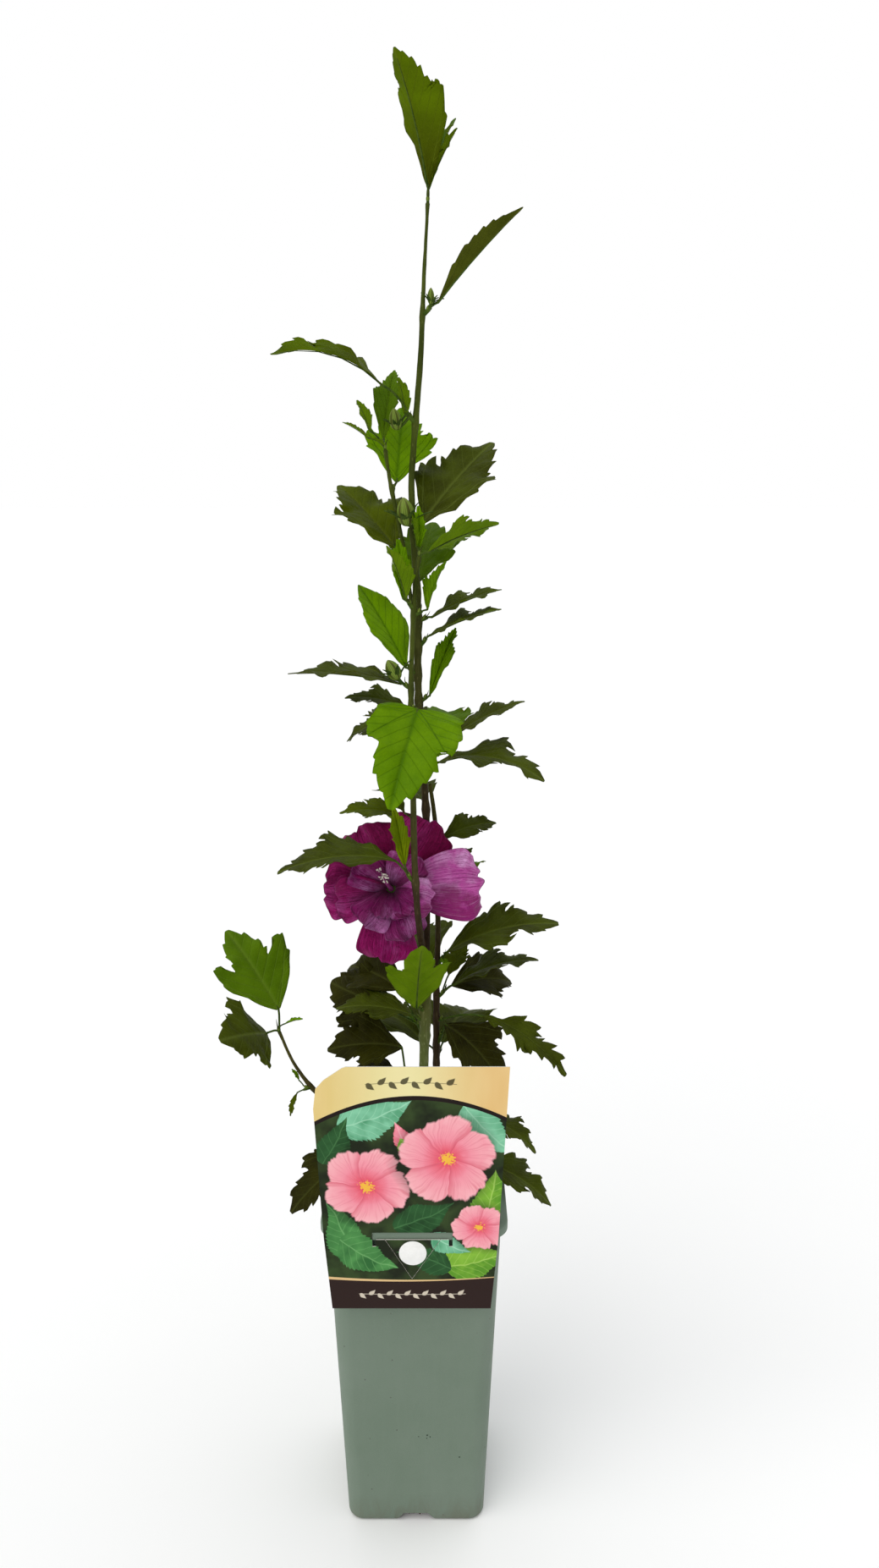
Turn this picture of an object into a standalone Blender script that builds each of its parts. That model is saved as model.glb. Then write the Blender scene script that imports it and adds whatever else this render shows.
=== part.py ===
"""Potted shrub mallow: a young flowering shrub in its square nursery pot, with a hang-on picture card.

Metres, +Z up. The origin is the centre of the pot's flat underside. A turn is an azimuth in degrees
about +Z from +X, and a rise is in degrees above the horizontal. The tables of limbs and leaves are
in millimetres.
"""

import math
import random
from collections import namedtuple

import bmesh
import bpy
from mathutils import Quaternion, Vector

MM = 0.001
GAP = 0.3 * MM
UP = Vector((0, 0, 1))

# Pot: a deep square tub with a turned-down rim and a drain notch in each side of its foot.
POT_HEIGHT = 220 * MM
RIM_WIDTH = 110 * MM
RIM_DROP = 5.5 * MM
RIM_WALL = 1.4 * MM
RIM_ROUND = 0.8 * MM
BODY_TOP_WIDTH = 103 * MM
BODY_FOOT_WIDTH = 86 * MM
CORNER_RADIUS = 10 * MM
CORNER_STEPS = 3
FOOT_ROUND = 3 * MM
POT_WALL = 1.5 * MM
NOTCH_TOP_WIDTH = 15 * MM
NOTCH_FOOT_WIDTH = 25 * MM
NOTCH_HEIGHT = 6 * MM
NOTCH_DEPTH = 14 * MM
CUT_BEYOND = 5 * MM

# Potting soil, level round the stems and crumbly towards the walls.
SOIL_TOP = 208 * MM
SOIL_RELIEF = 2 * MM
SOIL_LEVEL_RADIUS = 30 * MM
SOIL_LEVEL_CENTRE = (6 * MM, 8 * MM)
SOIL_INSET = 2 * POT_WALL + 2 * GAP + 1.6 * MM
SOIL_CORNER = 0.94
SOIL_CELLS = 8

# Picture card, hung on the front of the rim through a slot.
CARD_THICKNESS = 0.6 * MM
CARD_FRONT = -RIM_WIDTH / 2 - GAP - CARD_THICKNESS
CARD_TOP = 326 * MM
CARD_FOOT = 169 * MM
CARD_TOP_WIDTH = 111 * MM
CARD_RIM_WIDTH = 101 * MM
CARD_FOOT_WIDTH = 93 * MM
CARD_SHIFT = -1.5 * MM
CARD_CORNER = (19 * MM, 14 * MM)
SLOT_WIDTH = 46 * MM
SLOT_HEIGHT = 5 * MM
SLOT_SHIFT = -2 * MM

# Twigs: each mass grows from one short spur, whose foot clears its limb by the gap.
TRUNK_SIDES = 10
LIMB_SIDES = 6
LIMB_STEPS = 2
SPUR_SIDES = 6
SPUR_REACH = 3.5 * MM
SPUR_RADIUS = 1.0 * MM
SPUR_TAPER = 0.8
SPUR_ROOTS = (0.25, 0.85)
SPUR_LEAST_SLOPE = 0.35
SPUR_CLEARANCE = 1.2 * GAP
STALK_RADIUS = 0.75 * MM
STALK_SAG = 0.08
STALK_RINGS = (0.35, 0.7)
BUD_SIDES = 6
BUD_PROFILE = [(-0.5, 0.3), (-0.3, 0.85), (0.0, 1.0), (0.3, 0.7), (0.5, 0.12)]

# Leaves: a stalk ring of six points, and a blade whose sheet is this thick for its length.
RING = [(-0.87, 0.5), (0, 1), (0.87, 0.5), (0.87, -0.5), (0, -1), (-0.87, -0.5)]
BLADE_THICKNESS = 0.013
LEAST_THICKNESS = 0.6 * MM
FOLD_AT_ENDS = 0.2
FOLD_RATE = 4
YOUNG_LENGTH = (9 * MM, 16 * MM)
YOUNG_CLEARANCE = 3.0 * MM
YOUNG_TRIES = 6

# Stations of each limb from foot to tip: x, y, z and radius.
LIMBS = {
    "trunk": [
        (5, 0, 208.3, 4.6), (5, 0, 216, 3.4), (5, 0, 250, 3), (5.5, 0, 300, 2.8),
        (6.5, 0, 335, 3), (6.5, 0, 350, 4), (6.5, 0, 356, 4),
    ],
    "stem_front": [
        (6.5, -2.7, 356.4, 2.1), (5.5, -10, 372, 2), (2.5, -24, 406, 1.8), (1, -27, 440, 1.8),
        (0.5, -24, 475, 1.6), (-0.5, -16, 530, 1.4), (1.5, -10, 580, 1.2), (4, -6, 600, 1),
    ],
    "stem_leader": [
        (6.5, 2.7, 356.4, 2.1), (7.5, 11, 390, 1.9), (7, 11, 455, 2), (3, 7, 525, 2),
        (3, 5.5, 570, 2), (0, 4, 630, 1.7), (1, 4, 655, 1.6), (5, 1.5, 700, 1.5),
        (7, 0, 740, 1), (9, 0, 774, 0.8),
    ],
    "stem_slender": [
        (13, 18, 208.3, 3.2), (13, 18, 216, 2.2), (13, 18, 260, 2), (13, 18, 330, 1.8),
        (14, 20, 380, 1.6), (13, 20, 435, 1.4), (9.5, 17, 468, 1.1),
    ],
    "shoot_upper_left": [
        (-0.5, 5.5, 574, 1.2), (-4, 5, 600, 1.2), (-8, 3, 622, 1.1), (-11.5, 0, 640, 1),
        (-13.5, -2, 655, 0.9),
    ],
    "shoot_low_left": [
        (0.6, -3, 222, 1.6), (-11, -6, 234, 1.5), (-34, -14, 262, 1.4), (-57, -20, 289, 1.3),
        (-70, -20, 308, 1), (-78, -22, 330, 0.8),
    ],
    "shoot_basal": [
        (-3.5, -7, 208.3, 1.6), (-3, -7, 216, 1.1), (-1.5, -6, 260, 1), (-5.5, -5, 292, 0.9),
    ],
}
STANDING = ("trunk", "stem_front", "stem_leader", "stem_slender", "shoot_basal")
TRUNK = "trunk"

# Outlines from base to tip: how far along the midrib, how far along the edge, and half width.
LOBED = [
    (0.00, 0.00, 0.07), (0.12, 0.13, 0.42), (0.24, 0.34, 0.80), (0.36, 0.57, 1.00),
    (0.50, 0.55, 0.52), (0.66, 0.70, 0.58), (0.82, 0.85, 0.30), (1.00, 1.00, 0.04),
]
BROAD = [
    (0.00, 0.00, 0.06), (0.10, 0.00, 0.60), (0.22, 0.14, 0.88), (0.36, 0.42, 1.00),
    (0.48, 0.50, 0.64), (0.64, 0.66, 0.60), (0.82, 0.84, 0.32), (1.00, 1.00, 0.04),
]
NARROW = [
    (0.00, 0.00, 0.12), (0.25, 0.28, 0.80), (0.60, 0.64, 0.86), (1.00, 1.00, 0.08),
]
PETAL = [
    (0.00, 0.00, 0.14), (0.30, 0.32, 0.48), (0.60, 0.64, 0.90), (0.82, 0.84, 1.00), (1.00, 0.95, 0.55),
]

# Leaf forms: half width to length, how far the midrib arches, how far the halves fold up, outline.
Form = namedtuple("Form", "width arch fold rows")
FORMS = {
    "open": Form(0.38, 15, 10, LOBED),
    "broad": Form(0.44, 20, 5, LOBED),
    "great": Form(0.48, 30, 15, BROAD),
    "slim": Form(0.30, 20, 10, LOBED),
    "upright": Form(0.30, 20, 25, LOBED),
    "keeled": Form(0.22, 15, 35, LOBED),
    "folded": Form(0.17, 10, 50, LOBED),
    "arching": Form(0.32, 40, 10, LOBED),
    "drooping": Form(0.30, 60, 10, LOBED),
    "shade": Form(0.40, 50, 15, LOBED),
    "petiole": Form(0.15, 15, 25, NARROW),
    "young": Form(0.20, 20, 20, NARROW),
    "petal": Form(0.40, -18, 4, PETAL),
    "inner petal": Form(0.42, 25, 12, PETAL),
}

# A leaf: its form, its stalk from the limb's axis and its blade, both as turn, rise and length, and
# how far the blade rolls about its midrib. A bud: its stalk, its width and length, and its axis.
Leaf = namedtuple("Leaf", "form stalk blade roll", defaults=(0,))
Bud = namedtuple("Bud", "stalk size axis")
Mass = namedtuple("Mass", "limb height leaves buds young", defaults=((), 0))

MASSES = {
    "foliage_tip": Mass("stem_leader", 774, [
        Leaf("upright", (0, 90, 8), (-120, 60, 62), roll=-5),
        Leaf("young", (20, 85, 8), (30, 65, 36)),
        Leaf("petiole", (-20, 85, 7), (-20, 60, 30)),
    ]),
    "foliage_upper_right": Mass("stem_leader", 722, [
        Leaf("folded", (-15, 35, 10), (-30, 40, 62), roll=-15),
    ], [Bud((-30, 60, 10), (3.5, 8), (-60, 90))]),
    "foliage_upper_left": Mass("stem_leader", 669, [
        Leaf("drooping", (-140, 40, 28), (170, 15, 64), roll=5),
        Leaf("young", (-145, 30, 7), (-120, 70, 20)),
    ], [Bud((-165, 10, 11), (6.5, 11), (-150, 80))]),
    "foliage_twig_tip": Mass("shoot_upper_left", 655, [
        Leaf("slim", (100, 40, 9), (75, 60, 42), roll=-5),
        Leaf("open", (-160, 50, 13), (-125, 55, 18)),
        Leaf("young", (-165, 35, 11), (170, 30, 16)),
    ], young=1),
    "foliage_twig": Mass("shoot_upper_left", 634, [
        Leaf("open", (75, 30, 10), (85, 55, 48), roll=10),
    ]),
    "foliage_eye_right": Mass("stem_leader", 613, [
        Leaf("open", (-25, 40, 7), (40, 40, 66), roll=15),
    ], [Bud((-115, 50, 14), (9.5, 15), (-150, 80))]),
    "foliage_eye_left": Mass("shoot_upper_left", 603, [
        Leaf("open", (-170, 20, 5), (135, 35, 56), roll=-10),
    ]),
    "foliage_front_tip": Mass("stem_front", 600, [
        Leaf("slim", (-20, 30, 6), (15, 20, 42), roll=-35),
        Leaf("petiole", (90, 80, 5), (100, 85, 22)),
        Leaf("petiole", (-150, 75, 6), (-150, 80, 18)),
    ]),
    "foliage_front_upper": Mass("stem_front", 573, [
        Leaf("upright", (-155, 50, 7), (-135, 65, 32)),
        Leaf("petiole", (-170, 45, 8), (110, 75, 32)),
    ]),
    "foliage_front_right": Mass("stem_front", 570, [
        Leaf("upright", (10, 20, 8), (30, 65, 28)),
    ]),
    "foliage_right_a": Mass("stem_leader", 565, [
        Leaf("slim", (-15, 15, 8), (10, 20, 42), roll=5),
    ]),
    "foliage_right_b": Mass("stem_leader", 550, [
        Leaf("slim", (-20, 45, 10), (0, 20, 42), roll=5),
    ]),
    "foliage_left_a": Mass("stem_leader", 535, [
        Leaf("open", (-160, 30, 8), (150, 55, 54), roll=5),
    ], young=1),
    "foliage_right_c": Mass("stem_leader", 519, [
        Leaf("keeled", (0, 30, 7), (45, 60, 42), roll=30),
    ]),
    "foliage_left_b": Mass("stem_leader", 510, [
        Leaf("arching", (-150, 35, 10), (180, 10, 36), roll=-15),
        Leaf("arching", (180, 0, 9), (160, -25, 40), roll=-20),
    ]),
    "foliage_front_left": Mass("stem_front", 531, [
        Leaf("slim", (145, 15, 7), (180, 5, 62)),
    ], [Bud((170, 45, 14), (8, 12), (150, 55))], young=1),
    "foliage_front_big": Mass("stem_front", 520, [
        Leaf("great", (-65, 10, 9), (-100, -45, 66), roll=-15),
    ]),
    "foliage_mid_right": Mass("stem_leader", 481, [
        Leaf("slim", (5, 45, 26), (5, 25, 44), roll=5),
        Leaf("drooping", (-30, 20, 10), (-20, -5, 66), roll=5),
    ], young=1),
    "foliage_mid_left": Mass("stem_leader", 438, [
        Leaf("arching", (170, 40, 18), (-175, 5, 38), roll=-10),
        Leaf("slim", (-170, 50, 20), (150, 40, 24)),
    ]),
    "foliage_bloom_left": Mass("stem_front", 423, [
        Leaf("arching", (-175, 50, 18), (-175, -5, 66), roll=-5),
        Leaf("petiole", (180, 60, 12), (110, 55, 34)),
    ]),
    "foliage_bloom_right": Mass("stem_slender", 429, [
        Leaf("arching", (0, 60, 6), (20, 10, 36), roll=20),
    ]),
    "foliage_bloom_under": Mass("stem_slender", 402, [
        Leaf("slim", (-20, 60, 16), (40, 30, 20)),
    ]),
    "foliage_fork": Mass("trunk", 333, [
        Leaf("open", (-120, 30, 12), (-80, 65, 54)),
    ]),
    "foliage_right_d": Mass("stem_slender", 354, [
        Leaf("arching", (-30, 55, 13), (0, 15, 70), roll=10),
    ], young=1),
    "foliage_right_e": Mass("stem_slender", 333, [
        Leaf("arching", (-10, 40, 15), (5, 15, 54), roll=-5),
        Leaf("slim", (20, 60, 16), (65, 25, 28)),
        Leaf("shade", (45, 15, 14), (30, -10, 46), roll=30),
    ]),
    "foliage_right_f": Mass("stem_slender", 318, [
        Leaf("drooping", (-20, 15, 30), (-35, -20, 66), roll=15),
    ]),
    "foliage_right_g": Mass("stem_slender", 300, [
        Leaf("shade", (-20, 70, 17), (-25, -40, 50), roll=20),
    ]),
    "foliage_left_c": Mass("trunk", 316, [
        Leaf("shade", (155, 60, 32), (135, 0, 48), roll=-30),
        Leaf("shade", (145, 25, 24), (150, 10, 50), roll=-60),
    ], young=1),
    "foliage_left_d": Mass("trunk", 326, [
        Leaf("arching", (-150, 35, 11), (180, 5, 46), roll=-10),
    ]),
    "foliage_left_e": Mass("shoot_basal", 292, [
        Leaf("shade", (120, 75, 18), (-175, 0, 46), roll=-30),
        Leaf("arching", (-170, 40, 8), (160, -10, 30)),
    ]),
    "foliage_low_left": Mass("shoot_low_left", 330, [
        Leaf("broad", (100, 85, 14), (145, 45, 56), roll=-15),
        Leaf("broad", (-150, 10, 8), (-115, 20, 48), roll=-45),
        Leaf("young", (0, 60, 6), (-10, 20, 12)),
    ]),
    "foliage_low_left_bud": Mass("shoot_low_left", 294, [
        Leaf("petiole", (-150, -10, 9), (-130, -65, 14)),
        Leaf("young", (180, 30, 8), (150, 50, 8)),
    ]),
    "foliage_pot_left": Mass("trunk", 229, [
        Leaf("arching", (175, 10, 40), (-150, -30, 56), roll=-10),
    ]),
    "foliage_pot_right": Mass("stem_slender", 226, [
        Leaf("drooping", (-25, 50, 40), (-30, -15, 46), roll=-10),
        Leaf("arching", (-35, 10, 32), (-10, -30, 54)),
    ]),
    "foliage_back_a": Mass("stem_leader", 582, [
        Leaf("open", (80, 30, 8), (80, 35, 52)),
    ]),
    "foliage_back_b": Mass("stem_leader", 490, [
        Leaf("arching", (80, 20, 10), (75, 5, 62)),
        Leaf("arching", (110, 20, 12), (115, 5, 58)),
    ]),
    "foliage_back_c": Mass("stem_leader", 455, [
        Leaf("arching", (100, 20, 10), (110, -15, 60)),
    ]),
    "foliage_back_d": Mass("stem_slender", 392, [
        Leaf("arching", (80, 30, 12), (75, 0, 60)),
        Leaf("arching", (120, 25, 14), (125, -5, 58)),
    ]),
    "foliage_back_e": Mass("stem_slender", 345, [
        Leaf("shade", (110, 30, 14), (110, -5, 62)),
    ]),
    "foliage_back_f": Mass("stem_slender", 290, [
        Leaf("shade", (70, 30, 14), (70, -5, 60)),
        Leaf("shade", (125, 25, 16), (130, 0, 58)),
    ]),
}

# Bloom: a wide semi-double flower on a short stalk from the leader. Petals by clock angle and length.
BLOOM_LIMB = "stem_leader"
BLOOM_HEIGHT = 384
BLOOM_CENTRE = Vector((-13, 0, 410)) * MM
BLOOM_FACING = (-90, 10)
BLOOM_OUTER = [(180, 38), (115, 40), (60, 45), (5, 52), (-95, 42)]
BLOOM_OUTER_CUP = 5
BLOOM_INNER = [(150, 24), (85, 22), (15, 22), (-60, 22), (-135, 24)]
BLOOM_INNER_CUP = 50
BLOOM_EYE = 1.5 * MM
BLOOM_STALK_RADIUS = 1.3 * MM
BLOOM_SIDES = 8
PETAL_THICKNESS = 0.9 * MM
CALYX = [(-14, 2.3), (-8, 5.5), (1.4, 6.5)]
COLUMN = [(0, 5), (7, 3.5), (12, 1.5)]

COLOURS = {
    "pot": ((0.160, 0.216, 0.177), 0.55),
    "soil": ((0.045, 0.022, 0.011), 0.95),
    "card": ((0.640, 0.470, 0.200), 0.35),
    "trunk": ((0.130, 0.190, 0.070), 0.60),
    "stem": ((0.085, 0.075, 0.020), 0.65),
    "leaf": ((0.055, 0.130, 0.010), 0.50),
    "bloom": ((0.280, 0.010, 0.160), 0.55),
}


def clear_scene():
    for obj in list(bpy.data.objects):
        bpy.data.objects.remove(obj, do_unlink=True)


def material(name, look):
    colour, roughness = COLOURS[look]
    mat = bpy.data.materials.new(name)
    mat.use_nodes = True
    shader = mat.node_tree.nodes["Principled BSDF"]
    shader.inputs["Base Color"].default_value = (*colour, 1.0)
    shader.inputs["Roughness"].default_value = roughness
    shader.inputs["Metallic"].default_value = 0.0
    return mat


def add_object(name, bm, look=None):
    """A new object. A piece that a Boolean takes in needs no look of its own."""
    bmesh.ops.recalc_face_normals(bm, faces=bm.faces[:])
    mesh = bpy.data.meshes.new(name)
    bm.to_mesh(mesh)
    bm.free()
    obj = bpy.data.objects.new(name, mesh)
    bpy.context.scene.collection.objects.link(obj)
    if look:
        mesh.materials.append(material(name, look))
    return obj


def boolean(obj, others, operation, solver="EXACT"):
    """Joins or cuts by every object of a collection at once, then removes them."""
    tools = bpy.data.collections.new("tools")
    bpy.context.scene.collection.children.link(tools)
    for other in others:
        bpy.context.scene.collection.objects.unlink(other)
        tools.objects.link(other)
    modifier = obj.modifiers.new("join", "BOOLEAN")
    modifier.operation = operation
    modifier.operand_type = "COLLECTION"
    modifier.collection = tools
    modifier.solver = solver
    bpy.context.view_layer.update()
    graph = bpy.context.evaluated_depsgraph_get()
    result = bpy.data.meshes.new_from_object(obj.evaluated_get(graph))
    obj.modifiers.clear()
    obj.data = result
    for other in others:
        bpy.data.objects.remove(other, do_unlink=True)
    bpy.data.collections.remove(tools)


def direction(turn, rise):
    turn, rise = math.radians(turn), math.radians(rise)
    return Vector((math.cos(turn) * math.cos(rise), math.sin(turn) * math.cos(rise), math.sin(rise)))


def spline_point(stations, place):
    """A point and radius on the smooth curve through the stations, at a place counted in stations."""
    last = len(stations) - 1
    index = min(int(place), last - 1)
    t = place - index
    a, b, c, d = (stations[min(max(index + k, 0), last)] for k in (-1, 0, 1, 2))
    blend = []
    for p, q, r, s in zip(a, b, c, d):
        bend = (2 * p - 5 * q + 4 * r - s) * t * t + (3 * q - p - 3 * r + s) * t ** 3
        blend.append(q + 0.5 * ((r - p) * t + bend))
    return Vector(blend[:3]) * MM, blend[3] * MM


def limb_at(name, height):
    """Where a limb passes a height in millimetres: its axis point, its direction and its radius."""
    stations = LIMBS[name]
    last = len(stations) - 1
    low, high = 0.0, float(last)
    for _ in range(30):
        middle = (low + high) / 2
        if spline_point(stations, middle)[0].z < height * MM:
            low = middle
        else:
            high = middle
    point, radius = spline_point(stations, low)
    ahead = spline_point(stations, min(low + 0.05, last))[0]
    behind = spline_point(stations, max(low - 0.05, 0))[0]
    return point, (ahead - behind).normalized(), radius


def limb_points(name):
    stations = LIMBS[name]
    count = (len(stations) - 1) * LIMB_STEPS
    return [spline_point(stations, k / LIMB_STEPS) for k in range(count + 1)]


def loft(rings):
    """A closed skin over rings of equally many points, capped at both ends."""
    bm = bmesh.new()
    rows = [[bm.verts.new(point) for point in ring] for ring in rings]
    for lower, upper in zip(rows, rows[1:]):
        for k in range(len(lower)):
            nxt = (k + 1) % len(lower)
            bm.faces.new((lower[k], lower[nxt], upper[nxt], upper[k]))
    bm.faces.new(rows[0][::-1])
    bm.faces.new(rows[-1])
    return bm


def tube(points, radii, sides, level_foot=False):
    """A closed tapering tube along a line of points."""
    last = len(points) - 1
    tangents = []
    for k in range(last + 1):
        tangents.append((points[min(k + 1, last)] - points[max(k - 1, 0)]).normalized())
    if level_foot:
        tangents[0] = UP.copy()
    side = tangents[0].orthogonal().normalized()
    rings = []
    for k in range(last + 1):
        if k:
            side = tangents[k - 1].rotation_difference(tangents[k]) @ side
        other = tangents[k].cross(side)
        angles = [2 * math.pi * step / sides for step in range(sides)]
        rings.append([points[k] + (side * math.cos(a) + other * math.sin(a)) * radii[k] for a in angles])
    return loft(rings)


class Blade:
    """The curved sheet of a leaf or petal: a midrib that arches, two halves folded up along it."""

    def __init__(self, form, base, along, length, roll=0, face=UP):
        self.rows = form.rows
        self.base = base
        self.along = along
        self.length = length
        self.width = form.width * length
        self.bend = math.radians(form.arch)
        self.fold = math.radians(form.fold)
        upward = (face - along * face.dot(along)).normalized()
        self.upward = Quaternion(along, math.radians(roll)) @ upward
        self.side = self.along.cross(self.upward)

    def rib(self, s):
        """A point of the midrib and the upward normal there."""
        radius = self.length / self.bend
        start, here = self.bend / 2, self.bend / 2 - self.bend * s
        forward = radius * (math.sin(start) - math.sin(here))
        lift = radius * (math.cos(here) - math.cos(start))
        point = self.base + self.along * forward + self.upward * lift
        return point, self.upward * math.cos(here) - self.along * math.sin(here)

    def point(self, s, across, height):
        """A point of the sheet: s along it, across in half widths, height off the sheet."""
        point, normal = self.rib(s)
        fold = self.fold * min(1, FOLD_AT_ENDS + FOLD_RATE * min(s, 1 - s))
        if across == 0:
            return point + normal * height / math.cos(fold)
        sign = math.copysign(1, across)
        spread = self.side * math.cos(fold) * sign + normal * math.sin(fold)
        face = normal * math.cos(fold) - self.side * math.sin(fold) * sign
        return point + spread * abs(across) * self.width + face * height

    def rings(self, thickness):
        up, down = thickness / 2, -thickness / 2
        for middle, edge, half in self.rows:
            places = [(edge, -half, up), (middle, 0, up), (edge, half, up)]
            places += [(edge, half, down), (middle, 0, down), (edge, -half, down)]
            yield [self.point(*place) for place in places]

    def solid(self, thickness, stalk=()):
        """One skin from the foot of the stalk to the tip of the blade."""
        tangents = [(b - a).normalized() for a, b in zip(stalk, [*stalk[1:], self.base])]
        side, ahead = self.side, self.rib(0)[1].cross(self.side)
        rings = list(self.rings(thickness))
        for point, tangent in zip(reversed(stalk), reversed(tangents)):
            side = ahead.rotation_difference(tangent) @ side
            ahead = tangent
            upward = side.cross(tangent)
            ring = [point + (side * x + upward * y) * STALK_RADIUS for x, y in RING]
            rings.insert(0, ring)
        bm = loft(rings)
        bmesh.ops.triangulate(bm, faces=bm.faces[:])
        return bm


def limb(name):
    points, radii = zip(*limb_points(name))
    sides = TRUNK_SIDES if name == TRUNK else LIMB_SIDES
    bm = tube(points, radii, sides, level_foot=name in STANDING)
    add_object(name, bm, "trunk" if name == TRUNK else "stem")


def spur_start(limb_name, height, heading):
    """Where a spur's end cap clears its limb by the gap: beside the limb, or past its tip."""
    axis, tangent, radius = limb_at(limb_name, height)
    if height >= LIMBS[limb_name][-1][2]:
        return axis + tangent * SPUR_CLEARANCE, tangent
    outward = (heading - tangent * heading.dot(tangent)).normalized()
    slope = max(outward.dot(heading), SPUR_LEAST_SLOPE)
    lean = math.sqrt(max(1 - slope * slope, 0))
    reach = (radius + SPUR_CLEARANCE + SPUR_RADIUS * lean) / slope
    return axis + heading * reach, heading


def stalk_points(start, base, blade):
    """A stalk that rises from the spur and sags a little towards the blade."""
    span = base - start
    sag = blade.upward * span.length * STALK_SAG
    return [start, *(start + span * part + sag for part in STALK_RINGS)]


def bud_solid(centre, axis, width, length):
    """A closed flower bud: a pointed egg."""
    points = [centre + axis * along * length for along, _ in BUD_PROFILE]
    return tube(points, [half * width / 2 for _, half in BUD_PROFILE], BUD_SIDES)


def clear_of_limbs(points):
    for name in LIMBS:
        for axis, radius in limb_points(name):
            if min((point - axis).length for point in points) < radius + YOUNG_CLEARANCE:
                return False
    return True


def young_leaves(name, start, heading, count):
    """Small unfolding leaves round a spur, by a seeded rule. One that would touch a limb is skipped."""
    rng = random.Random(name)
    flat = math.degrees(math.atan2(heading.y, heading.x))
    grown = []
    for _ in range(YOUNG_TRIES):
        along = direction(flat + rng.uniform(-60, 60), rng.uniform(-10, 60))
        length = rng.uniform(*YOUNG_LENGTH)
        if clear_of_limbs([start + along * length * part for part in (0.7, 1.2)]):
            grown.append((along, length))
    return grown[:count]


def build_mass(name, mass):
    axis = limb_at(mass.limb, mass.height)[0]
    lead = direction(*mass.leaves[0].stalk[:2])
    start, heading = spur_start(mass.limb, mass.height, lead)
    tip = start + heading * SPUR_REACH
    spur = add_object(name, tube([start, tip], [SPUR_RADIUS, SPUR_RADIUS * SPUR_TAPER], SPUR_SIDES), "leaf")
    count = len(mass.leaves) + len(mass.buds) + mass.young
    first, last = SPUR_ROOTS
    roots = [start.lerp(tip, first + (last - first) * k / count) for k in range(count)]
    pieces = []
    for leaf in mass.leaves:
        turn, rise, reach = leaf.stalk
        base = axis + direction(turn, rise) * reach * MM
        turn, rise, length = leaf.blade
        blade = Blade(FORMS[leaf.form], base, direction(turn, rise), length * MM, leaf.roll)
        thickness = max(length * MM * BLADE_THICKNESS, LEAST_THICKNESS)
        stalk = stalk_points(roots.pop(0), base, blade)
        pieces.append(add_object("blade", blade.solid(thickness, stalk)))
    for bud in mass.buds:
        turn, rise, reach = bud.stalk
        centre = axis + direction(turn, rise) * reach * MM
        width, length = (value * MM for value in bud.size)
        along = direction(*bud.axis)
        pieces.append(add_object("bud", bud_solid(centre, along, width, length)))
        points = [roots.pop(0), centre - along * length * 0.2]
        pieces.append(add_object("stalk", tube(points, [STALK_RADIUS] * 2, SPUR_SIDES)))
    for along, length in young_leaves(name, tip, heading, mass.young):
        blade = Blade(FORMS["young"], roots.pop(0), along, length)
        pieces.append(add_object("young", blade.solid(LEAST_THICKNESS)))
    boolean(spur, pieces, "UNION", "MANIFOLD")


def turned_profile(centre, axis, profile):
    """A turned solid from pairs of place along its axis and radius, in millimetres."""
    points = [centre + axis * place * MM for place, _ in profile]
    return tube(points, [radius * MM for _, radius in profile], BLOOM_SIDES)


def petals(form, table, cup, right, top, facing):
    for angle, length in table:
        outward = right * math.cos(math.radians(angle)) + top * math.sin(math.radians(angle))
        along = outward * math.cos(math.radians(cup)) + facing * math.sin(math.radians(cup))
        blade = Blade(FORMS[form], BLOOM_CENTRE + outward * BLOOM_EYE, along, length * MM, face=facing)
        yield add_object("petal", blade.solid(PETAL_THICKNESS))


def build_bloom():
    facing = direction(*BLOOM_FACING)
    right = UP.cross(facing).normalized()
    top = facing.cross(right)
    back = BLOOM_CENTRE + facing * CALYX[0][0] * MM
    axis = limb_at(BLOOM_LIMB, BLOOM_HEIGHT)[0]
    start, heading = spur_start(BLOOM_LIMB, BLOOM_HEIGHT, (back - axis).normalized())
    line = [start, start.lerp(back, 0.5), back + facing * CALYX[1][1] * MM]
    flower = add_object("bloom", tube(line, [BLOOM_STALK_RADIUS] * 3, SPUR_SIDES), "bloom")
    pieces = [
        add_object("calyx", turned_profile(BLOOM_CENTRE, facing, CALYX)),
        add_object("column", turned_profile(BLOOM_CENTRE, facing, COLUMN)),
    ]
    pieces += petals("petal", BLOOM_OUTER, BLOOM_OUTER_CUP, right, top, facing)
    pieces += petals("inner petal", BLOOM_INNER, BLOOM_INNER_CUP, right, top, facing)
    boolean(flower, pieces, "UNION", "MANIFOLD")


def rounded_square(width, radius, z):
    ring = []
    centre = Vector((width / 2 - radius, width / 2 - radius, z))
    for corner in range(4):
        for step in range(CORNER_STEPS + 1):
            angle = math.pi / 2 * step / CORNER_STEPS
            point = centre + Vector((math.cos(angle), math.sin(angle), 0)) * radius
            ring.append(turned(90 * corner) @ point)
    return ring


def turned(angle):
    return Quaternion(UP, math.radians(angle)).to_matrix()


def body_width(z):
    return BODY_FOOT_WIDTH + (BODY_TOP_WIDTH - BODY_FOOT_WIDTH) * z / POT_HEIGHT


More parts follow.
